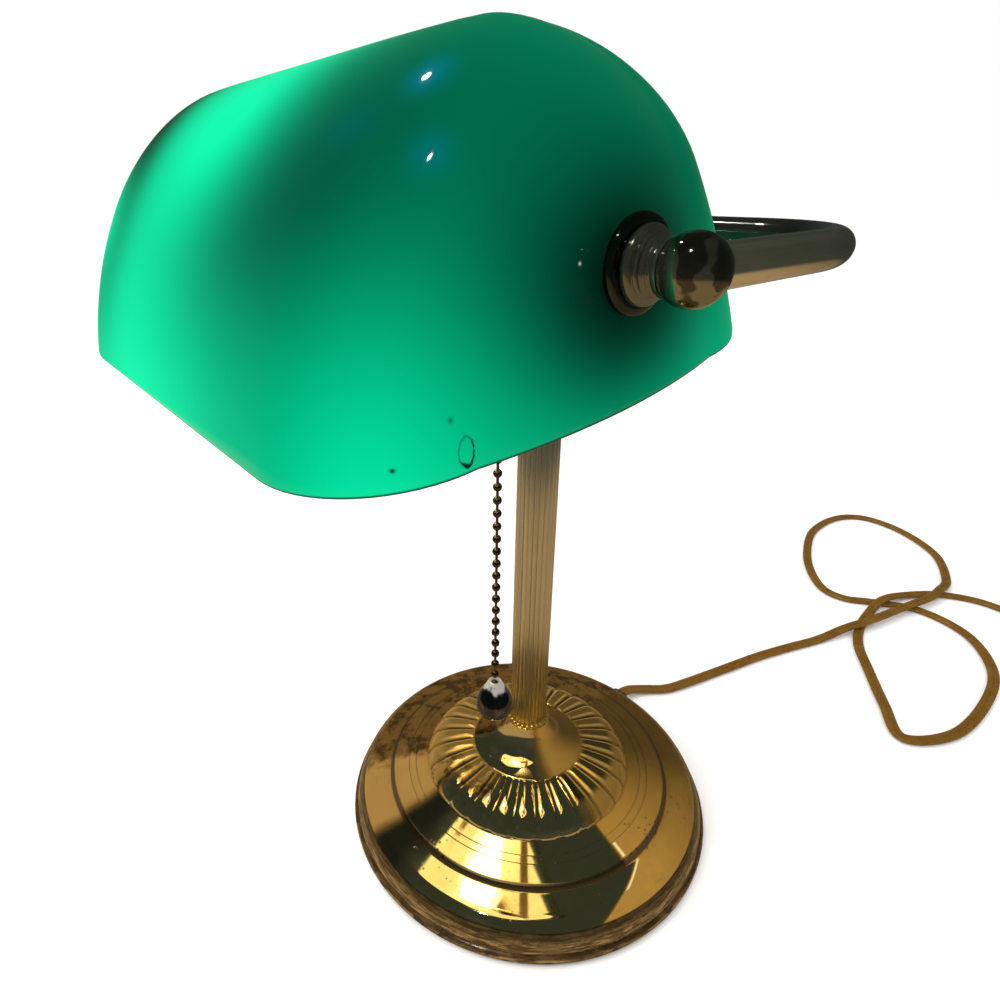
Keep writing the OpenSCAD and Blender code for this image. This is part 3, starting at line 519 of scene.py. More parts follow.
@dataclass(frozen=True)
class CasedGlass:
    """Green outer layer of the lit glass: bright at the bulb's end, dark where the socket shades it.

    It also carries a bubble, a dark and a white speck, and a painted dark line along its ground rim, where the glow
    drops.
    """

    name: str = "glass_green_lit"
    ground: float = 0.605
    lobes: Tuple[Lobe, ...] = (
        Lobe(0.70, (-79, -108, 320), (19, 90, 19)),
        Lobe(0.35, (105, -161, 254), (21, 34, 64)),
        Lobe(0.765, (-27, -92, 250), (90, 77, 87)),
        Lobe(-0.80, (-72, -103, 329), (23, 64, 41)),
        Lobe(-0.78, (41, -100, 334), (56, 89, 32)),
        Lobe(-0.56, (125, -84, 306), (44, 32, 24)),
        Lobe(0.80, (20, -99, 340), (47, 76, 26)),
    )
    flares: Tuple[Lobe, ...] = (
        Lobe(0.16, (82.7, -116.5, 345.5), (4, 5, 4)),
        Lobe(0.08, (93.0, -124.0, 332.4), (4, 4, 4)),
        Lobe(0.03, (71.7, -128.0, 337.8), (8, 6, 5)),
    )
    bubble: Point = (103.9, -125.4, 279.8)
    dark_specks: Tuple[Lobe, ...] = (
        Lobe(0.80, (99.2, -139.8, 278.2), (2.5, 0.42, 0.42)),
        Lobe(0.35, (103.0, -128.4, 286.8), (2.5, 0.5, 0.6)),
    )
    white_speck: Point = (105.7, -98.0, 312.9)

    @staticmethod
    def _glow(axes: Sequence[Socket], lobe: Lobe) -> Socket:
        """Returns the soft patch of one lobe."""
        far: object = 0.0
        for value, centre, reach in zip(axes, lobe.centre, lobe.reach):
            off = (value * (1000.0 / reach)) - centre / reach
            far = off * off + far
        return (-far).exp() * lobe.level

    def build(self) -> bpy.types.Material:
        """Returns the material."""
        material, g, shader = principled(
            self.name,
            {"Roughness": 0.045, "IOR": 1.20, "Emission Strength": 1.0},
        )
        point = g.object_point()
        axes = g.axes(point)
        level = g.noise(point, 26.0, 2.0) * 0.04 + (self.ground - 0.02)
        for lobe in self.lobes:
            level = level + self._glow(axes, lobe)
        level = g.maths("MINIMUM", g.maths("MAXIMUM", level, 0.12), 0.97)
        _, y, z = axes
        rim = 29.44 - (y * 1000.0 + 83.3) * 0.1274 + (z * 1000.0 - 311.7) * 0.99185
        # painted shade: the glow drops to 30 percent along the rim's lower edge
        level = level * (0.30 + rim.step(-1.35, -0.75) * 0.70)
        ring = self._ring(g, axes)
        level = level * (1.0 - ring * 0.80)
        for lobe in self.dark_specks:
            level = level * (1.0 - self._glow(axes, lobe))
        light = level**2.2
        white = self._glow(axes, Lobe(0.45, self.white_speck, (2.0, 0.32, 0.32)))
        blue: object = 0.0
        for lobe in self.flares:
            blue = self._glow(axes, lobe) + blue
        tone = g.combine(light * 0.0008 + white, light + blue * 0.25 + white, light * 0.46 + blue + white)
        feed(g, shader, Emission_Color=tone, Base_Color=g.mix(level, (0.0, 0.004, 0.003), (0.0, 0.012, 0.008)))
        return material

    def _ring(self, g: Graph, axes: Sequence[Socket]) -> Socket:
        """Returns the thin outline of the bubble, heavier at its lower end."""
        x, y, z = axes
        ragged = (g.noise(g.object_point(), 900.0, 3.0, 0.6) - 0.5) * 0.5
        across = (y * 1000.0 - self.bubble[1]) / 1.8
        up = (z * 1000.0 - self.bubble[2]) / 3.1
        far = g.maths("SQRT", across * across + up * up) + ragged
        line = (1.0 - g.maths("ABSOLUTE", far - 1.0).step(0.03, 0.17)) * (0.30 + (across - up * 0.9).step(-0.4, 0.9) * 0.7)
        end = (1.0 - (far - 0.90).step(0.0, 0.2)) * (1.0 - (up + across * 0.25).step(-0.90, -0.66))
        return (line + end).clamp() * x.step(0.080, 0.090)


@dataclass(frozen=True)
class Opal:
    """Lit white glass of the lining, or of the frosted bulb with its hot core."""

    name: str
    glow: Point
    strength: float
    core: float = 0.0
    core_x: float = -14.0
    core_reach: float = 15.0
    body: Point = (0.34, 0.28, 0.16)

    def build(self) -> bpy.types.Material:
        """Returns the material."""
        material, g, shader = principled(self.name, {"Roughness": 0.25, "IOR": 1.45, "Emission Strength": self.strength})
        point = g.object_point()
        x, _, _ = g.axes(point)
        cloud = g.noise(point, 30.0, 2.0)
        off = (x * 1000.0 - self.core_x) / self.core_reach
        level = (-(off * off)).exp() * self.core + (1.0 - cloud.step(0.3, 0.7) * 0.15)
        tone = g.combine(level * self.glow[0], level * self.glow[1], level * self.glow[2])
        feed(g, shader, Emission_Color=tone, Base_Color=g.mix(cloud, self.body, tuple(c * 0.9 for c in self.body)))
        return material


@dataclass(frozen=True)
class Jacket:
    """Clear gold vinyl of the cord."""

    name: str = "vinyl_gold_clear"

    def build(self) -> bpy.types.Material:
        """Returns the material."""
        material, g, shader = principled(
            self.name, {"IOR": 1.45, "Metallic": 0.35, "Coat Roughness": 0.05}
        )
        point = g.object_point()
        x, y, _ = g.axes(point)
        strand = g.noise(g.combine(x * 3.0, y * 0.6, x * 0.0), 420.0, 2.0)
        cloud = g.noise(point, 90.0, 3.0)
        tone = g.mix(strand * 0.4 + cloud * 0.6, (0.12, 0.052, 0.005), (0.37, 0.180, 0.026))
        feed(
            g,
            shader,
            Base_Color=tone,
            Roughness=0.22 + cloud * 0.12,
            Coat_Weight=0.30 + cloud * 0.2,
            Normal=g.bump(strand, 0.25, 0.0003),
        )
        return material


# ------------------------------------------------------------------ mesh helpers


def catmull(points: Profile, parts: int, closed: bool = False) -> List[Tuple[float, float]]:
    """Returns a smooth curve through 2D points.

    Args:
        points: The points to pass through.
        parts: Pieces between each pair of points.
        closed: Whether the last point joins the first.

    Returns:
        The finer list of points.
    """
    count = len(points)
    made: List[Tuple[float, float]] = []
    for k in range(count if closed else count - 1):
        if closed:
            four = [points[(k + j) % count] for j in (-1, 0, 1, 2)]
        else:
            four = [points[min(max(k + j, 0), count - 1)] for j in (-1, 0, 1, 2)]
        a, b, c, d = four
        for i in range(parts):
            t = i / parts
            made.append(
                tuple(
                    0.5
                    * (
                        2 * b[n]
                        + (c[n] - a[n]) * t
                        + (2 * a[n] - 5 * b[n] + 4 * c[n] - d[n]) * t * t
                        + (3 * b[n] - a[n] - 3 * c[n] + d[n]) * t**3
                    )
                    for n in range(2)
                )
            )
    if not closed:
        made.append(tuple(points[-1]))
    return made


def grid_surface(
    across: int,
    along: int,
    place: Callable[[int, int], Point],
    wrap_across: bool = True,
    wrap_along: bool = False,
) -> bmesh.types.BMesh:
    """Lays a grid over a surface.

    Args:
        across: Cells round the surface.
        along: Cells along the surface.
        place: Gives the point in millimetres for the two counters.
        wrap_across: Whether the last column meets the first.
        wrap_along: Whether the last row meets the first.

    Returns:
        The mesh, welded where it meets itself, in metres.
    """
    bm = bmesh.new()
    bmesh.ops.create_grid(bm, x_segments=across, y_segments=along, size=1.0)
    for vert in bm.verts:
        i = round((vert.co.x + 1.0) / 2.0 * across)
        j = round((vert.co.y + 1.0) / 2.0 * along)
        if wrap_across:
            i %= across
        if wrap_along:
            j %= along
        vert.co = Vector(place(i, j)) * MM
    bmesh.ops.remove_doubles(bm, verts=bm.verts, dist=2e-6)
    bmesh.ops.recalc_face_normals(bm, faces=bm.faces)
    return bm


def revolve(profile: Profile, steps: int, turn: Optional[Matrix] = None, closed: bool = True) -> bmesh.types.BMesh:
    """Turns a profile of (radius, height) in millimetres round the Z axis.

    Args:
        profile: Points of the outline.
        steps: Cells round the axis.
        turn: Matrix that moves the finished form, in metres.
        closed: Whether the last point joins the first.

    Returns:
        The mesh in metres.
    """
    bm = bmesh.new()
    verts = [bm.verts.new((r * MM, 0.0, z * MM)) for r, z in profile]
    for a, b in zip(verts, verts[1:]):
        bm.edges.new((a, b))
    if closed:
        bm.edges.new((verts[-1], verts[0]))
    bmesh.ops.spin(
        bm,
        geom=list(bm.verts) + list(bm.edges),
        cent=(0, 0, 0),
        axis=(0, 0, 1),
        angle=math.tau,
        steps=steps,
        use_merge=True,
    )
    bmesh.ops.remove_doubles(bm, verts=bm.verts, dist=1e-6)
    bmesh.ops.dissolve_degenerate(bm, edges=bm.edges, dist=1e-7)
    bmesh.ops.recalc_face_normals(bm, faces=bm.faces)
    if turn is not None:
        bmesh.ops.transform(bm, matrix=turn, verts=bm.verts)
        bmesh.ops.recalc_face_normals(bm, faces=bm.faces)
    return bm


def join(parts: Sequence[bmesh.types.BMesh]) -> bmesh.types.BMesh:
    """Returns one mesh that holds all the parts."""
    whole = bmesh.new()
    for part in parts:
        mesh = bpy.data.meshes.new("part")
        part.to_mesh(mesh)
        part.free()
        whole.from_mesh(mesh)
        bpy.data.meshes.remove(mesh)
    return whole


def settle(
    bm: bmesh.types.BMesh,
    name: str,
    body: Body,
    material: bpy.types.Material,
    stands_for: Sequence[str] = (),
    sharp: float = 34.0,
) -> bpy.types.Object:
    """Turns a mesh into a named piece on its CAD body.

    Args:
        bm: The finished form in metres.
        name: Name of the piece.
        body: Body that it rides on.
        material: Its finish.
        stands_for: CAD nodes that it replaces.
        sharp: Angle in degrees over which an edge stays sharp.

    Returns:
        The object.
    """
    mesh = bpy.data.meshes.new(name)
    bm.to_mesh(mesh)
    bm.free()
    for polygon in mesh.polygons:
        polygon.use_smooth = True
    mesh.set_sharp_from_angle(angle=math.radians(sharp))
    mesh.materials.append(material)
    made = bpy.data.objects.new(name, mesh)
    bpy.context.scene.collection.objects.link(made)
    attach(made, body.value)
    if stands_for:
        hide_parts(*stands_for)
    return made


# ------------------------------------------------------------------ sizes shared by the pieces


@dataclass(frozen=True)
class LampSizes:
    """Sizes in millimetres that several pieces share, as in the part's source."""

    foot_radius: float = 100.5
    step_radius: float = 78.2
    step_z: float = 21.8
    dome_radius: float = 56.9
    dome_z: float = 28.5
    seat_z: float = 40.2
    flare_top: float = 57.3
    stem_radius: float = 9.7
    stem_top: float = 248.0
    pipe_bore: float = 4.9
    pivot_y: float = -83.3
    pivot_z: float = 311.7
    ball_x: float = 121.4
    ball_radius: float = 7.35
    arm_radius: float = 4.75
    bend_radius: float = 34.7
    disc_face: float = 107.525
    chain_x: float = 51.8
    socket_y: float = -70.9
    socket_z: float = 310.0
    guide_z: float = 292.5
    bulb_radius: float = 27.5
    bead_radius: float = 1.55
    bead_pitch: float = 4.85
    bead_count: int = 26


SIZES = LampSizes()


def out_along_x(y: float, z: float, side: int = 1) -> Matrix:
    """Returns the matrix that lays a turned form's Z axis along X.

    Args:
        y: Height of the axis line across the lamp, in millimetres.
        z: Height of the axis line, in millimetres.
        side: 1 for +X, -1 for its mirror.

    Returns:
        The matrix in metres.
    """
    turn = Matrix.Rotation(math.radians(90 * side), 4, "Y")
    return Matrix.Translation((0, y * MM, z * MM)) @ turn


# ------------------------------------------------------------------ camera, light and floor


@dataclass(frozen=True)
class CameraFit:
    """Camera fitted to the photograph, in the row frame."""

    place: Point = (0.19837, -0.20097, 0.32827)
    right: Point = (0.6126, 0.7902, -0.0173)
    up: Point = (-0.3366, 0.2807, 0.8989)
    focal_px: float = 659.86
    centre_px: Tuple[float, float] = (452.93, 500.27)

    def build(self) -> bpy.types.Object:
        """Returns the scene's camera."""
        data = bpy.data.cameras.new("camera")
        data.sensor_width = 36.0
        data.lens = self.focal_px / 1000.0 * 36.0
        data.shift_x = (500.0 - self.centre_px[0]) / 1000.0
        data.shift_y = (self.centre_px[1] - 500.0) / 1000.0
        data.clip_start, data.clip_end = 0.01, 50.0
        camera = bpy.data.objects.new("camera", data)
        right = Vector(self.right).normalized()
        up = Vector(self.up)
        up = (up - right * up.dot(right)).normalized()
        back = right.cross(up)
        camera.matrix_world = Matrix(
            [[right[i], up[i], back[i], self.place[i]] for i in range(3)] + [[0, 0, 0, 1]]
        )
        bpy.context.scene.collection.objects.link(camera)
        bpy.context.scene.camera = camera
        return camera


@dataclass(frozen=True)
class Studio:
    """Pale floor, white surround for the camera and a dim warm room for reflections."""

    floor_size: float = 14.0
    room_dark: Point = (0.034, 0.044, 0.034)
    room_low: Point = (0.050, 0.056, 0.044)
    table: Point = (0.30, 0.215, 0.115)

    def world(self) -> None:
        """Builds the surround."""
        world = bpy.data.worlds.new("studio")
        bpy.context.scene.world = world
        world.use_nodes = True
        g = Graph(world.node_tree)
        path = g.node("ShaderNodeLightPath")
        camera = Socket(g, path.outputs["Is Camera Ray"])
        glossy = Socket(g, path.outputs["Is Glossy Ray"])
        point = Socket(g, g.node("ShaderNodeTexCoord").outputs["Generated"])
        _, _, z = g.axes(point)
        room = g.mix(z.step(-0.05, 0.5), self.room_low, self.room_dark)
        cloud = g.noise(point, 1.6, 2.0)
        room = g.mix(cloud.step(0.55, 0.8) * 0.4, room, (0.10, 0.10, 0.075))
        tone = g.mix(glossy, (1.06, 1.06, 1.06), room)
        tone = g.mix(camera, tone, (1.0, 1.0, 1.0))
        background = g.node("ShaderNodeBackground", {"Color": tone, "Strength": 1.0})
        output = g.node("ShaderNodeOutputWorld")
        g.tree.links.new(background.outputs[0], output.inputs[0])

    def floor(self) -> bpy.types.Object:
        """Builds the floor: white to the camera, warm brown in reflections."""
        bm = bmesh.new()
        bmesh.ops.create_grid(bm, x_segments=4, y_segments=4, size=self.floor_size / 2)
        mesh = bpy.data.meshes.new("floor")
        bm.to_mesh(mesh)
        bm.free()
        floor = bpy.data.objects.new("floor", mesh)
        floor.location.z = -0.0002
        bpy.context.scene.collection.objects.link(floor)
        material, g, shader = principled("floor_white", {"Roughness": 0.9, "Specular IOR Level": 0.0})
        path = g.node("ShaderNodeLightPath")
        glossy = Socket(g, path.outputs["Is Glossy Ray"])
        x, y, _ = g.axes(g.object_point())
        far = g.maths("SQRT", x * x + y * y).step(0.70, 1.15)
        feed(g, shader, Base_Color=g.mix(glossy, (0.96, 0.96, 0.96), g.mix(far, self.table, self.room_low)))
        mesh.materials.append(material)
        return floor

    def lights(self) -> None:
        """Builds the soft key light and the two small ceiling lamps that glint on glass and brass."""
        key = self._area("key", (-0.9, -1.6, 1.9), (0.0, -0.05, 0.1), 1.2, 18.0)
        key.visible_glossy = False
        for name, spot, way, size, power in (
            ("ceiling_a", (82.7, -116.5, 345.5), (-0.559, 0.012, 0.821), 0.048, 1.75),
            ("ceiling_b", (93.0, -124.0, 332.4), (0.066, -0.443, 0.878), 0.058, 2.55),
        ):
            start = Vector(spot) * MM
            place = start + Vector(way).normalized() * 1.2
            self._area(name, tuple(place), tuple(start), size, power)

    @staticmethod
    def _area(name: str, place: Point, target: Point, size: float, power: float) -> bpy.types.Object:
        data = bpy.data.lights.new(name, "AREA")
        data.shape = "DISK"
        data.size = size
        data.energy = power
        light = bpy.data.objects.new(name, data)
        light.location = place
        light.rotation_mode = "QUATERNION"
        light.rotation_quaternion = (Vector(target) - Vector(place)).to_track_quat("-Z", "Y")
        bpy.context.scene.collection.objects.link(light)
        return light


# ------------------------------------------------------------------ cord


@dataclass(frozen=True)
class CordSizes:
    """Flat two core cord with its spare length wound into a coil."""

    width: float = 7.0
    thick: float = 3.6
    coil_x: float = 226.0
    coil_y: float = 300.0
    coil_radius: float = 34.0
    turns: int = 2
    length: float = 1.85
    floor_z: float = 1.85
    over_z: float = 5.95


class Cord:
    """The free cord from the foot to the plug."""

    def __init__(self, sizes: CordSizes = CordSizes()) -> None:
        self.s = sizes

    def _lead(self) -> List[Point]:
        low, over = self.s.floor_z, self.s.over_z
        return [
            (-12, 98.8, 5.2), (-12.7, 104.8, 5.2), (-12, 112, 4.2), (-7, 122, 2.4), (2, 135, low),
            (8, 154, low), (16, 186, low), (24, 218, low), (33, 246, low), (42, 272, low),
            (50, 298, over - 1), (56, 315, over), (60, 329, over), (68, 364, over),
            (75, 392, over), (76, 412, over), (72, 442, low), (50, 482, low), (16, 506, low),
            (-16, 512, low), (-36, 502, low), (-46, 476, low), (-44, 436, low), (-26, 391, low),
            (-7, 362, low), (12, 345, low), (30, 345, low), (46, 357, low), (76, 374, low),
            (112, 366, low), (138, 332, low), (146, 288, low), (143, 242, low), (124, 214, low),
            (104, 236, low), (81, 266, low), (65, 288, low), (56, 310, low), (52, 334, low + 1),
            (52, 360, over), (60, 388, low + 1), (78, 413, low), (108, 427, low), (150, 420, low),
            (194, 400, low), (230, 364, low),
        ]  # fmt: skip

    def _coil(self) -> List[Point]:
        s = self.s
        start = math.radians(40.3)
        sweep = start + math.tau * s.turns
        steps = 30 * s.turns
        rise = s.thick + 0.15
        made = []
        for i in range(steps + 1):
            angle = start - sweep * i / steps
            done = math.degrees(sweep * i / steps)
            climb = min(1.0, max(0.0, (done - 330.0) / 75.0))
            radius = s.coil_radius + 0.9 * math.sin(2.3 * angle)
            height = s.floor_z + rise * climb * climb * (3 - 2 * climb)
            made.append(
                (s.coil_x + radius * math.cos(angle), s.coil_y + radius * math.sin(angle), height)
            )
        return made

    def _tail(self) -> List[Point]:
        return [(260.5, 284, 4.9), (258.5, 275, 4.1), (254.5, 265, 3.5), (252.2, 256, 3.3), (252, 247.6, 3.3)]

    def route(self) -> List[Point]:
        """Returns the whole centreline in millimetres, fine enough to sweep."""
        rough = self._lead() + self._coil() + self._tail()
        made: List[Point] = []
        count = len(rough)
        for k in range(count - 1):
            a, b, c, d = (Vector(rough[min(max(k + j, 0), count - 1)]) for j in (-1, 0, 1, 2))
            parts = max(1, round((c - b).length / 4.0))
            for i in range(parts):
                t = i / parts
                made.append(
                    tuple(
                        0.5
                        * (
                            2 * b
                            + (c - a) * t
                            + (2 * a - 5 * b + 4 * c - d) * t * t
                            + (3 * b - a - 3 * c + d) * t**3
                        )
                    )
                )
        made.append(tuple(rough[-1]))
        return made

    def build(self, jacket: bpy.types.Material) -> bpy.types.Object:
        """Args:
            jacket: Finish of the cord.

        Returns:
            The cord.
        """
        route = self.route()
        count = len(route)
        sides = 36
        half, lobe = self.s.width / 2, self.s.thick / 2

        def section(k: int) -> Tuple[float, float]:
            angle = math.tau * k / sides
            across = math.cos(angle)
            pinch = 1.0 - 0.42 * math.exp(-((across / 0.22) ** 2))
            return half * across, lobe * pinch * math.copysign(abs(math.sin(angle)) ** 0.72, math.sin(angle))

        def place(i: int, j: int) -> Point:
            a, b = Vector(route[max(j - 1, 0)]), Vector(route[min(j + 1, count - 1)])
            run = b - a
            side = Vector((run.y, -run.x, 0)).normalized()
            rise = side.cross(run).normalized()
            if rise.z < 0:
                rise = -rise
            u, v = section(i)
            return tuple(Vector(route[j]) + side * u + rise * v)

        bm = grid_surface(sides, count - 1, place)
        bmesh.ops.holes_fill(bm, edges=[e for e in bm.edges if e.is_boundary], sides=0)
        bmesh.ops.recalc_face_normals(bm, faces=bm.faces)
        made = settle(
            bm, "cord", Body.STAND, jacket, ("cord_lead", "cord_coil", "cord_tail")
        )
        length = sum((Vector(b) - Vector(a)).length for a, b in zip(route, route[1:]))
        LOG.info("cord centreline %.1f mm", length)
        tuple(v * MM for v in route[0])
        [tuple(v * MM for v in p) for p in route]
        return made


# ------------------------------------------------------------------ foot


class Foot:
    """Spun shell, lobed dome and trumpet neck."""

    def __init__(self, lobes: int = 28) -> None:
        self.lobes = lobes

    @staticmethod
    def _crisp(profile: Profile, tight: float = 0.12) -> List[Tuple[float, float]]:
        """Returns the profile with a point close to each side of every corner, so cones stay flat."""
        made: List[Tuple[float, float]] = []
        for a, b in zip(profile, profile[1:]):
            run = Vector(b) - Vector(a)
            near = run.normalized() * min(tight, run.length * 0.2)
            made += [tuple(Vector(a) + near), tuple(Vector(a) + near * 2)]
            made += [tuple(Vector(b) - near * 2), tuple(Vector(b) - near)]
        return made + [tuple(profile[-1])]

    def shell(self, finish: bpy.types.Material) -> bpy.types.Object:
        """Builds the spun shell with its rolled lip."""
        r, s, z = SIZES.foot_radius, SIZES.step_radius, SIZES.step_z
        bead = [(r - 1.9, 0.9), (r - 0.9, 1.25), (r - 0.15, 2.2), (r, 3.3), (r - 0.35, 4.3), (r - 1.2, 5.1)]
        wall = [
            (r - 2.05, 6.2), (r - 2.0, 7.0), (r - 2.3, 8.4), (r - 2.9, 9.8), (r - 3.9, 11.9), (r - 5.25, 14.0),
            (r - 7.1, 16.0), (r - 9.1, 17.55), (r - 10.6, 18.25), (r - 12.0, 18.68), (r - 12.9, 18.9),
        ]  # fmt: skip
        cone = self._crisp([(r - 13.1, 18.94), (s + 1.0, 20.95), (s + 0.62, 21.1)])
        step = [
            (s + 0.62, 21.1), (s + 0.42, 21.35), (s + 0.3, 21.8), (s + 0.05, 22.6), (s - 0.35, 23.25),
            (s - 1.0, 23.75), (s - 1.9, 24.05),
        ]  # fmt: skip
        upper = self._crisp(
            [
                (s - 1.9, 24.05), (s - 10.3, 26.25), (s - 10.6, 25.95), (s - 14.2, 26.92), (s - 14.5, 26.65),
                (57.4, 28.42), (56.0, SIZES.dome_z), (53.0, SIZES.dome_z),
            ]
        )
        outer = catmull(bead, 4) + [(r - 2.35, 5.45), (r - 2.35, 5.95)] + catmull(wall, 4)
        outer += cone + catmull(step, 3) + upper
        inner = [
            (53.0, SIZES.dome_z - 1.4), (s - 14.5, z + 3.4), (s - 6.6, z + 2.0), (s - 2.6, z + 0.9),
            (s - 1.1, z - 0.6), (s - 0.6, z - 1.8), (r - 17.0, 18.6), (r - 13.0, 17.6), (r - 10.7, 16.5),
            (r - 8.5, 14.6), (r - 6.7, 12.7), (r - 5.4, 10.7), (r - 4.2, 8.4), (r - 3.6, 6.2),
            (r - 3.1, 3.2), (r - 9.0, 3.2), (r - 9.0, 2.0), (r - 2.8, 2.0), (r - 2.8, 0.9),
        ]  # fmt: skip
        return settle(
            revolve(outer + inner, 256), "foot_shell", Body.STAND, finish, ("base_shell",)
        )

    def dome(self, finish: bpy.types.Material) -> bpy.types.Object:
        """Builds the dome with its ring of convex lobes."""
        rim = SIZES.dome_radius
        height = catmull(
            [
                (0.0, 0.1), (0.5, 1.2), (1.6, 2.9), (3.2, 4.9), (5.3, 6.9), (7.9, 8.6), (11.0, 9.9),
                (14.5, 10.8), (18.5, 11.6), (22.5, 12.3), (25.6, 12.5), (27.0, 11.9),
            ],
            3,
        )  # fmt: skip
        under = [(27.0, 10.9), (19.0, 10.0), (13.0, 8.0), (8.0, 5.0), (2.6, 0.0)]
        loop = height + under
        per = 16
        around = self.lobes * per
        share_knots = [
            (0.0, 0.22), (2.0, 0.30), (4.0, 0.60), (6.0, 0.92), (8.5, 1.0), (20.0, 0.95), (24.2, 0.8),
            (26.2, 0.45), (27.0, 0.0),
        ]  # fmt: skip

        def share(depth: float) -> float:
            for (a, va), (b, vb) in zip(share_knots, share_knots[1:]):
                if depth <= b:
                    t = (depth - a) / (b - a)
                    return va + (vb - va) * t * t * (3 - 2 * t)
            return 0.0

        def place(i: int, j: int) -> Point:
            depth, rise = loop[j]
            angle = math.tau * i / around
            u = (i % per) / per
            form = 1.0 - abs(2 * u - 1) ** 2.6
            radius, z = rim - depth, SIZES.dome_z + rise
            if j < len(height):
                z = max(z - 2.1 * share(depth) * (1.0 - form), SIZES.dome_z + 0.05)
                radius -= 0.55 * (1.0 - form) * max(0.0, 1.0 - depth / 4.0)
            return radius * math.cos(angle), radius * math.sin(angle), z

        bm = grid_surface(around, len(loop), place, wrap_along=True)
        return settle(bm, "lobed_dome", Body.STAND, finish, ("gadroon_dome",), 50.0)

    def neck(self, finish: bpy.types.Material, bright: bpy.types.Material) -> List[bpy.types.Object]:
        """Builds the trumpet neck and the scalloped ring on it.

        Args:
            finish: Finish of the neck.
            bright: Finish of the ring.

        Returns:
            The neck and the ring.
        """
        seat, top = SIZES.seat_z, SIZES.flare_top
        curve = [
            (28.6, seat + 0.4), (26.4, seat + 0.75), (23.2, seat + 1.6), (20.2, seat + 2.9),
            (17.6, seat + 4.8), (15.5, seat + 7.2), (13.9, seat + 9.9), (12.6, seat + 12.8),
            (11.7, seat + 15.6), (11.3, top),
        ]  # fmt: skip
        lip = catmull([(30.4, seat - 0.9), (30.5, seat - 0.5), (29.9, seat + 0.2), (29.3, seat + 0.4)], 3)
        low = [(5.0, top), (5.0, top - 2), (9.6, top - 2.4), (12.2, seat + 9.3), (16.5, seat + 3.8), (22.8, seat + 0.3)]
        flare = settle(
            revolve(lip + catmull(curve, 4) + low + [(22.8, seat - 0.9)], 192),
            "trumpet_neck", Body.STAND, finish, ("neck_flare",),
        )  # fmt: skip
        lobes, per = 24, 10
        rows = [
            (5.0, top, 0), (10.9, top, 0), (11.4, top + 0.2, 0), (11.4, top + 0.5, 0), (11.0, top + 0.7, 0),
            (10.5, top + 0.8, 2), (10.75, top + 1.1, 2.4), (10.8, top + 1.8, 2.6), (10.5, top + 2.3, 2.0),
            (10.0, top + 2.5, 0.6), (5.0, top + 2.5, 0),
        ]  # fmt: skip

        def place(i: int, j: int) -> Point:
            radius, z, wave = rows[j]
            angle = math.tau * i / (lobes * per)
            radius += wave * 0.55 * (abs(math.cos(lobes * angle / 2)) ** 0.8 - 0.35)
            return radius * math.cos(angle), radius * math.sin(angle), z

        ring = settle(
            grid_surface(lobes * per, len(rows), place, wrap_along=True),
            "scalloped_ring", Body.STAND, bright, ("stem_foot_ring",), 50.0,
        )  # fmt: skip
        return [flare, ring]


# ------------------------------------------------------------------ stem and arm


class Stem:
    """Reeded tube of the stem."""

    def build(self, finish: bpy.types.Material) -> bpy.types.Object:
        """Builds the tube with its convex reeds."""
        reeds, per = 24, 12
        low, high = SIZES.flare_top + 2.5, SIZES.stem_top
        rows = [(7.4, low), (1.0, low), (0.0, low + 0.6), (0.0, high - 0.6), (1.0, high), (7.4, high)]

        def place(i: int, j: int) -> Point:
            angle = math.tau * i / (reeds * per)
            form = abs(math.cos(reeds * angle / 2)) ** 0.5
            inset, z = rows[j]
            radius = 7.4 if inset == 7.4 else SIZES.stem_radius - 0.45 * (1.0 - form) - 0.3 * inset
            return radius * math.cos(angle), radius * math.sin(angle), z

        bm = grid_surface(reeds * per, len(rows), place, wrap_along=True)
        return settle(bm, "reeded_stem", Body.STAND, finish, ("stem_tube",), 60.0)


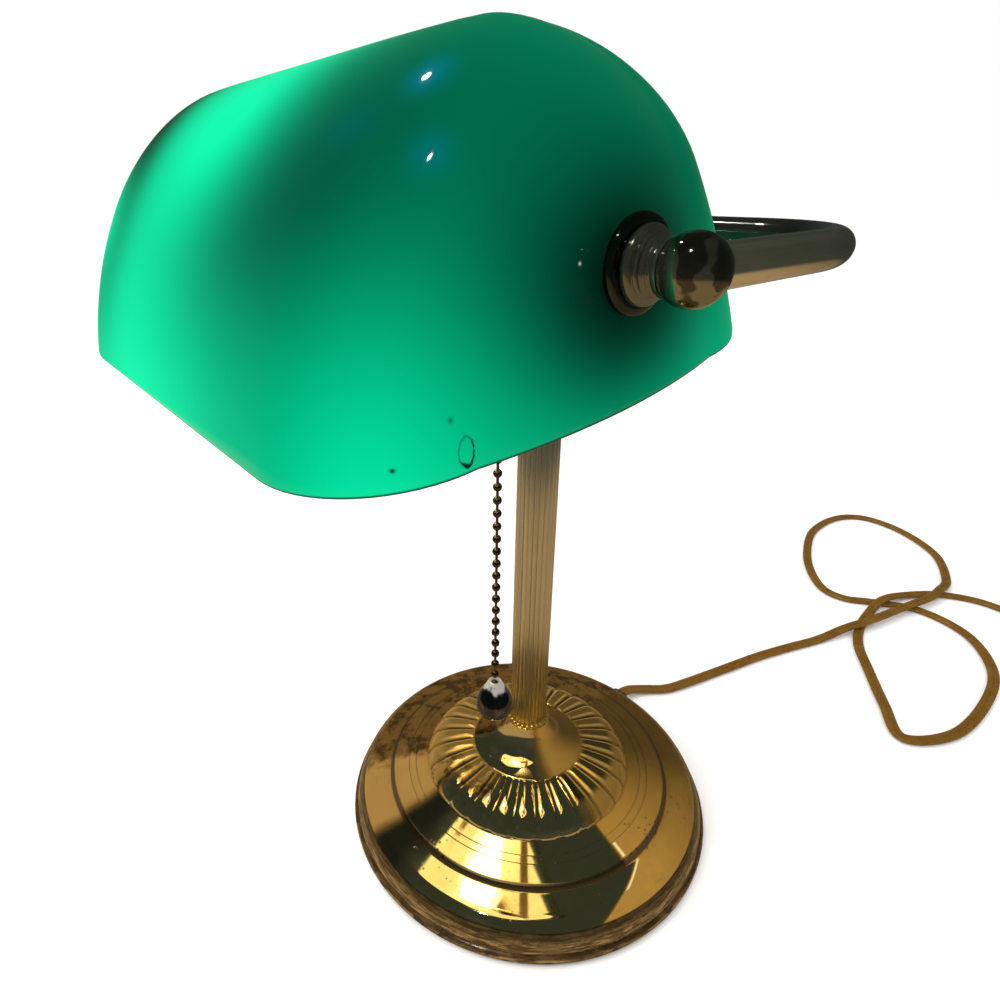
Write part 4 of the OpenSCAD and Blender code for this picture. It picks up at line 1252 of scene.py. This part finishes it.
class Arm:
    """U shaped tube, balls, stepped collars and discs."""

    def _path(self) -> List[Point]:
        x, r, z = SIZES.ball_x, SIZES.bend_radius, SIZES.pivot_z
        end_y = SIZES.pivot_y + SIZES.ball_radius - 2.4
        right = [(x, end_y + (-r - end_y) * i / 6, z) for i in range(6)]
        for i in range(25):
            angle = math.radians(90 * i / 24)
            right.append((x - r + r * math.cos(angle), -r + r * math.sin(angle), z))
        cross = [((x - r) * (1 - 2 * i / 12), 0.0, z) for i in range(1, 12)]
        left = [(-p[0], p[1], p[2]) for p in reversed(right)]
        return right + cross + left

    def tube(self, finish: bpy.types.Material) -> bpy.types.Object:
        """Builds the bent tube."""
        path = self._path()
        count, sides = len(path), 48

        def place(i: int, j: int) -> Point:
            a, b = Vector(path[max(j - 1, 0)]), Vector(path[min(j + 1, count - 1)])
            side = (b - a).normalized().cross(Vector((0, 0, 1)))
            angle = math.tau * i / sides
            return tuple(
                Vector(path[j])
                + side * (SIZES.arm_radius * math.cos(angle))
                + Vector((0, 0, SIZES.arm_radius * math.sin(angle)))
            )

        bm = grid_surface(sides, count - 1, place)
        bmesh.ops.holes_fill(bm, edges=[e for e in bm.edges if e.is_boundary], sides=0)
        bmesh.ops.recalc_face_normals(bm, faces=bm.faces)
        return settle(bm, "u_arm", Body.STAND, finish, ("shade_arm",))

    def ends(
        self, finish: bpy.types.Material, grey: bpy.types.Material, dark: bpy.types.Material
    ) -> List[bpy.types.Object]:
        """Builds ball, collar and disc at both ends.

        Args:
            finish: Finish of the balls.
            grey: Finish of the collars.
            dark: Finish of the discs.

        Returns:
            The six pieces.
        """
        made = []
        face, ball, radius = SIZES.disc_face, SIZES.ball_x, SIZES.ball_radius
        collar = catmull(
            [
                (7.9, face + 2.4), (8.2, face + 2.8), (8.2, face + 3.6), (7.9, face + 4.2),
                (7.3, face + 4.5), (6.9, face + 4.7), (7.1, face + 5.1), (6.7, face + 5.5), (6.3, face + 5.7),
                (6.6, face + 6.1), (6.2, face + 6.5), (5.9, face + 6.8), (6.2, face + 7.2), (5.9, face + 7.6),
                (5.7, face + 7.9), (6.0, face + 8.4), (5.9, ball - 4.6),
            ],
            3,
        )  # fmt: skip
        disc = catmull(
            [
                (10.0, face), (10.35, face + 0.4), (10.35, face + 1.4), (9.9, face + 2.0),
                (9.0, face + 2.3), (8.0, face + 2.4),
            ],
            3,
        )  # fmt: skip
        for side, word in ((1, "near"), (-1, "far")):
            turn = out_along_x(SIZES.pivot_y, SIZES.pivot_z, side)
            bm = bmesh.new()
            bmesh.ops.create_uvsphere(bm, u_segments=64, v_segments=40, radius=radius * MM)
            bmesh.ops.transform(bm, matrix=turn @ Matrix.Translation((0, 0, ball * MM)), verts=bm.verts)
            made.append(
                settle(bm, f"ball_{word}", Body.STAND, finish, (f"arm_ball_{word}",))
            )
            outline = [(3.1, face + 2.4)] + collar + [(3.1, ball - 6.4)]
            made.append(
                settle(
                    revolve(outline, 96, turn), f"collar_{word}", Body.STAND, grey,
                    (f"pivot_collar_{word}",),
                )
            )  # fmt: skip
            outline = [(3.1, face)] + disc + [(3.1, face + 2.4)]
            made.append(
                settle(
                    revolve(outline, 96, turn), f"disc_{word}", Body.STAND, dark,
                    (f"outer_disc_{word}",),
                )
            )  # fmt: skip
        return made


# ------------------------------------------------------------------ shade


@dataclass(frozen=True)
class ShadeSizes:
    """Sizes of the glass bowl in millimetres, in its own level frame."""

    half_length: float = 104.28
    bow: float = 4.45
    half_width: float = 73.2
    skirt: float = 1.75
    depth: float = 77.5
    corner: float = 33.7
    roll: float = 32.5
    draft: float = 0.08
    narrowing: float = 0.3
    power: float = 2.2
    wall: float = 4.0
    lining: float = 1.4
    tilt: float = 7.32
    pivot_back: float = 4.19
    pivot_up: float = 29.44


class Shade:
    """Cased glass bowl: green outside, white inside."""

    def __init__(self, sizes: ShadeSizes = ShadeSizes()) -> None:
        self.s = sizes
        tilt = Matrix.Rotation(math.radians(sizes.tilt), 4, "X")
        self.turn = (
            Matrix.Translation((0, SIZES.pivot_y, SIZES.pivot_z))
            @ tilt
            @ Matrix.Translation((0, -sizes.pivot_back, -sizes.pivot_up))
        )

    def _plan(self, inset: float) -> List[Tuple[float, float]]:
        s = self.s
        a, b, rc = s.half_length - inset, s.half_width - inset, s.corner - inset
        quarter = [(a + s.bow * (1 - (i / 9) ** 2), i / 9 * (b - rc)) for i in range(9)]
        quarter += [
            (a - rc + rc * math.cos(math.radians(90 * i / 16)), b - rc + rc * math.sin(math.radians(90 * i / 16)))
            for i in range(17)
        ]
        span = a - rc
        long_side = [(span * (1 - i / 8), b) for i in range(1, 8)]
        half = quarter + long_side + [(0.0, b)]
        top = half + [(-x, y) for x, y in reversed(half[:-1])]
        return top + [(x, -y) for x, y in reversed(top[1:-1])]

    def _level(self, point: Tuple[float, float], phi: float, inset: float) -> Point:
        s = self.s
        depth, roll = s.depth - inset, s.roll - inset
        h = math.sin(math.radians(phi))
        z = depth * h
        over = max(0.0, z - (depth - roll))
        pull = roll - math.sqrt(max(0.0, roll * roll - over * over))
        narrow = (1 - s.narrowing * h) * max(0.0, 1 - h**s.power) ** (1 / s.power)
        x = math.copysign(max(0.0, abs(point[0]) - s.draft * z - pull * min(1.0, abs(point[0]) / 40.0)), point[0])
        return x, point[1] * narrow, z

    def _bowl(self, outer: float, inner: float) -> bmesh.types.BMesh:
        s = self.s
        steps = [90 * (i / 40) for i in range(40, -1, -1)]
        rows: List[Tuple[float, float, Optional[float]]] = [(outer, phi, None) for phi in steps]
        wall = inner - outer
        edge = min(0.7, wall / 3)
        rows.append((outer, 0.0, -s.skirt + edge))
        for i in range(1, 4):
            angle = math.radians(30 * i)
            rows.append((outer + edge * (1 - math.cos(angle)), 0.0, -s.skirt + edge * (1 - math.sin(angle))))
        for i in range(3, 0, -1):
            angle = math.radians(30 * i)
            rows.append((inner - edge * (1 - math.cos(angle)), 0.0, -s.skirt + edge * (1 - math.sin(angle))))
        rows.append((inner, 0.0, -s.skirt + edge))
        rows += [(inner, phi, None) for phi in reversed(steps)]
        plans = {inset: self._plan(inset) for inset, _, _ in rows}
        around = len(plans[outer])

        def place(i: int, j: int) -> Point:
            inset, phi, flat = rows[j]
            x, y, z = self._level(plans[inset][i], phi, inset)
            if flat is not None:
                z = flat
            return tuple(self.turn @ Vector((x, y, z)))

        return grid_surface(around, len(rows) - 1, place)

    def _drill(self, bm: bmesh.types.BMesh, name: str) -> bmesh.types.BMesh:
        """Cuts the two round holes for the bushes."""
        mesh = bpy.data.meshes.new(name)
        bm.to_mesh(mesh)
        bm.free()
        body = bpy.data.objects.new(name, mesh)
        cut = bmesh.new()
        for side in (1, -1):
            place = out_along_x(SIZES.pivot_y, SIZES.pivot_z, side) @ Matrix.Translation((0, 0, 100 * MM))
            bmesh.ops.create_cone(
                cut, cap_ends=True, segments=64, radius1=5 * MM, radius2=5 * MM, depth=30 * MM, matrix=place
            )
        cut_mesh = bpy.data.meshes.new("cutter")
        cut.to_mesh(cut_mesh)
        cut.free()
        cutter = bpy.data.objects.new("cutter", cut_mesh)
        for made in (body, cutter):
            bpy.context.scene.collection.objects.link(made)
        modifier = body.modifiers.new("holes", "BOOLEAN")
        modifier.object = cutter
        modifier.operation = "DIFFERENCE"
        modifier.solver = "EXACT"
        bpy.context.view_layer.update()
        shape = body.evaluated_get(bpy.context.evaluated_depsgraph_get()).to_mesh()
        drilled = bmesh.new()
        drilled.from_mesh(shape)
        bpy.data.objects.remove(body)
        bpy.data.objects.remove(cutter)
        return drilled

    def build(self, green: bpy.types.Material, white: bpy.types.Material) -> List[bpy.types.Object]:
        """Builds both layers of the glass.

        Args:
            green: Finish of the outer layer.
            white: Finish of the inner layer.

        Returns:
            The outer and the inner layer.
        """
        between = self.s.wall - self.s.lining
        casing = self._drill(self._bowl(0.0, between), "casing_cut")
        lining = self._drill(self._bowl(between + 0.02, self.s.wall), "lining_cut")
        return [
            settle(casing, "glass_shade", Body.SHADE, green, ("shade_casing",), 50.0),
            settle(lining, "glass_lining", Body.SHADE, white, ("shade_lining",), 50.0),
        ]


# ------------------------------------------------------------------ chain and bulb


@dataclass(frozen=True)
class PullChain:
    """Bead chain and its teardrop pull."""

    pitch: float = 4.88
    drop: float = 1.9
    swell: float = 1.07
    squash: float = 0.97

    @property
    def first(self) -> float:
        """Height of the hanging chain's first bead, in mm."""
        return SIZES.guide_z + 5.2 - 3 * SIZES.bead_pitch - 1.75

    @property
    def last(self) -> float:
        """Height of the hanging chain's last bead, in mm."""
        return self.first - (SIZES.bead_count - 1) * self.pitch

    @property
    def hang(self) -> float:
        """Height of the pull's origin, in mm; its mouth is 1 mm lower."""
        return self.last - self.drop

    def _beads(self, first: float, count: int, pitch: float, tail: Tuple[float, float]) -> bmesh.types.BMesh:
        place = Matrix.Translation((SIZES.chain_x * MM, SIZES.socket_y * MM, 0))
        parts = []
        for i in range(count):
            z = first - i * pitch
            bead = bmesh.new()
            bmesh.ops.create_uvsphere(bead, u_segments=20, v_segments=14, radius=SIZES.bead_radius * MM)
            bmesh.ops.transform(bead, matrix=place @ Matrix.Translation((0, 0, z * MM)), verts=bead.verts)
            parts.append(bead)
        low, high = tail
        rod = bmesh.new()
        bmesh.ops.create_cone(
            rod, cap_ends=True, segments=12, radius1=0.5 * MM, radius2=0.5 * MM, depth=(high - low) * MM,
            matrix=place @ Matrix.Translation((0, 0, (high + low) / 2 * MM)),
        )  # fmt: skip
        parts.append(rod)
        return join(parts)

    def build(self, bronze: bpy.types.Material, chrome: bpy.types.Material) -> List[bpy.types.Object]:
        """Builds the chain in its guide, the hanging chain and the pull."""
        top, first, last = SIZES.guide_z + 5.2, self.first, self.last
        pieces = [
            settle(
                self._beads(top, 3, SIZES.bead_pitch, (first + SIZES.bead_radius + 0.3, top + 9.9)), "guide_chain",
                Body.CHAIN_TOP, bronze, ("chain_top",),
            ),
            settle(
                self._beads(first, SIZES.bead_count + 1, self.pitch * 0.997, (last, first)), "bead_chain",
                Body.PULL_CHAIN, bronze, ("pull_chain",),
            ),
        ]  # fmt: skip
        drop = catmull(
            [
                (1.6, -1.0), (2.2, -1.05), (2.9, -2.3), (3.7, -4.0), (4.9, -6.0), (5.95, -8.2),
                (6.55, -10.1), (6.75, -12.0), (6.5, -13.9), (5.8, -15.6), (4.7, -17.0), (3.3, -18.0),
                (1.7, -18.6), (0.0, -18.8),
            ],
            3,
        )  # fmt: skip
        outline = [(r * self.swell, z * self.squash) for r, z in [(0.0, -2.6), (1.0, -2.2)] + drop]
        turn = Matrix.Translation((SIZES.chain_x * MM, SIZES.socket_y * MM, self.hang * MM))
        pieces.append(
            settle(
                revolve(outline, 64, turn, closed=False), "teardrop_pull", Body.PULL_CHAIN,
                chrome, ("chain_pull_end",),
            )
        )  # fmt: skip
        return pieces


class Bulb:
    """Frosted lit bulb."""

    def build(self, glow: bpy.types.Material) -> bpy.types.Object:
        """Builds the glass envelope as a closed skin."""
        big = SIZES.bulb_radius
        angles = [math.radians(a) for a in range(0, 133, 6)]
        globe = [(big * math.sin(a), -35 - big * math.cos(a)) for a in angles]
        neck = catmull([globe[-1], (18.8, -8.4), (15.4, 0.5), (13.6, 8.0), (12.9, 14.0), (12.6, 20.8)], 4)
        outline = globe + neck[1:] + [(11.6, 20.8), (11.6, 14.0), (0.0, 12.0)]
        turn = out_along_x(SIZES.socket_y, SIZES.socket_z)
        return settle(
            revolve(outline, 72, turn, closed=False), "bulb", Body.BULB, glow, ("bulb_glass",)
        )


# ------------------------------------------------------------------ plain CAD pieces


class PlainPieces:
    """Finishes for the CAD nodes that are shown as they are."""

    def dress(self, finishes: Dict[str, bpy.types.Material]) -> int:
        """Gives each shown CAD node the finish of its record slot.

        Args:
            finishes: Slot name to material.

        Returns:
            How many nodes were dressed.
        """
        slots = {s["node"]: s["material_slot"] for s in frame["record"]["subparts"]}
        done = 0
        for name, node in frame["nodes"].items():
            if node.hide_render:
                continue
            node.data.materials.clear()
            node.data.materials.append(finishes[slots[name]])
            done += 1
        return done


def finishes() -> Dict[str, bpy.types.Material]:
    """Returns the finish of each record slot, and of the parts of one that look different."""
    return {
        "brass_polished": Brass("brass_foot", tarnish=0.22, spots=0.8, dull=0.92, banded=True).build(),
        "brass_dome": Brass(
            "brass_dome", wear_and_shade=(0.46, 0.265, 0.065), warm=(0.46, 0.26, 0.055), tarnish=0.22, spots=0.5, dull=0.72,
            front_sector=(-200.0, 200.0), back_shade_level=0.6, shadow=0.0, soft=9.0, lobes=28,
        ).build(),
        "brass_ring": Brass(
            "brass_ring", colour=(0.78, 0.52, 0.15), wear_and_shade=(0.60, 0.33, 0.06), tarnish=0.3, spots=0.1, haze=0.6, veil=0.5
        ).build(),
        "brass_neck": Brass(
            "brass_neck", wear_and_shade=(0.34, 0.19, 0.05), warm=(0.42, 0.23, 0.045), tarnish=0.2, spots=0.6, dull=0.85,
            clean=(-135.0, -24.0), back_shade_level=0.30, shadow=0.0, soft=18.0,
        ).build(),
        # the arm's dark tone is also a painted shade on its rear
        "brass_arm": Brass(
            "brass_arm", colour=(0.86, 0.78, 0.60), wear_and_shade=(0.060, 0.066, 0.054), roughness=0.12, tarnish=0.10,
            spots=0.2, haze=0.1, rear_shade=0.95, rub=0.0,
        ).build(),
        "brass_ball": Brass(
            "brass_ball", colour=(0.34, 0.31, 0.22), wear_and_shade=(0.16, 0.17, 0.13), tarnish=0.5, spots=0.5, haze=0.35,
            veil=0.15, mottle=0.75,
        ).build(),
        "brass_collar": Brass(
            "brass_collar", colour=(0.24, 0.23, 0.18), wear_and_shade=(0.15, 0.155, 0.125), roughness=0.10, tarnish=0.5,
            spots=0.3, haze=0.4, veil=0.3,
        ).build(),
        "brass_dark": Brass(
            "brass_dark", colour=(0.048, 0.058, 0.054), wear_and_shade=(0.034, 0.040, 0.038), roughness=0.10, tarnish=0.6,
            spots=0.3, haze=0.3,
        ).build(),
        "brass_satin": SatinTube("brass_satin").build(),
        "brass_raw": PlainMetal("brass_raw", (0.72, 0.58, 0.30), 0.3).build(),
        "steel_zinc": PlainMetal("steel_zinc", (0.62, 0.63, 0.65), 0.35).build(),
        "iron_black": Plastic("iron_black", (0.03, 0.03, 0.03), 0.7, 200.0, 0.6).build(),
        "felt_green": Plastic("felt_green", (0.02, 0.07, 0.035), 0.95, 900.0, 0.8).build(),
        "glass_green": CasedGlass().build(),
        "glass_white": Opal("lining_lit", (1.0, 0.85, 0.38), 1.05).build(),
        "glass_frost": Opal("bulb_lit", (1.0, 0.90, 0.60), 1.7, 9.0).build(),
        "chain_bronze": PlainMetal("chain_bronze", (0.115, 0.092, 0.062), 0.12).build(),
        "pull_chrome": PullChrome("pull_chrome", PullChain().hang).build(),
        "rubber_black": Plastic("rubber_black", (0.02, 0.02, 0.02), 0.6).build(),
        "fibre_brown": Plastic("fibre_brown", (0.10, 0.07, 0.04), 0.6).build(),
        "aluminium_cap": PlainMetal("aluminium_cap", (0.75, 0.75, 0.74), 0.3).build(),
        "vinyl_gold": Jacket().build(),
    }


def main() -> None:
    """Builds the camera, the cord, the studio and every dressed sub-assembly."""
    logging.basicConfig(level=logging.INFO, format="%(name)s: %(message)s")
    CameraFit().build()
    looks = finishes()
    Cord().build(looks["vinyl_gold"])
    studio = Studio()
    studio.world()
    studio.floor()
    studio.lights()
    foot = Foot()
    foot.shell(looks["brass_polished"])
    foot.dome(looks["brass_dome"])
    foot.neck(looks["brass_neck"], looks["brass_ring"])
    Stem().build(looks["brass_satin"])
    arm = Arm()
    arm.tube(looks["brass_arm"])
    arm.ends(looks["brass_ball"], looks["brass_collar"], looks["brass_dark"])
    Shade().build(looks["glass_green"], looks["glass_white"])
    PullChain().build(looks["chain_bronze"], looks["pull_chrome"])
    Bulb().build(looks["glass_frost"])
    LOG.info("%d CAD nodes dressed", PlainPieces().dress(looks))
    bpy.context.scene.view_settings.view_transform = "Standard"


if __name__ == "__main__":
    main()
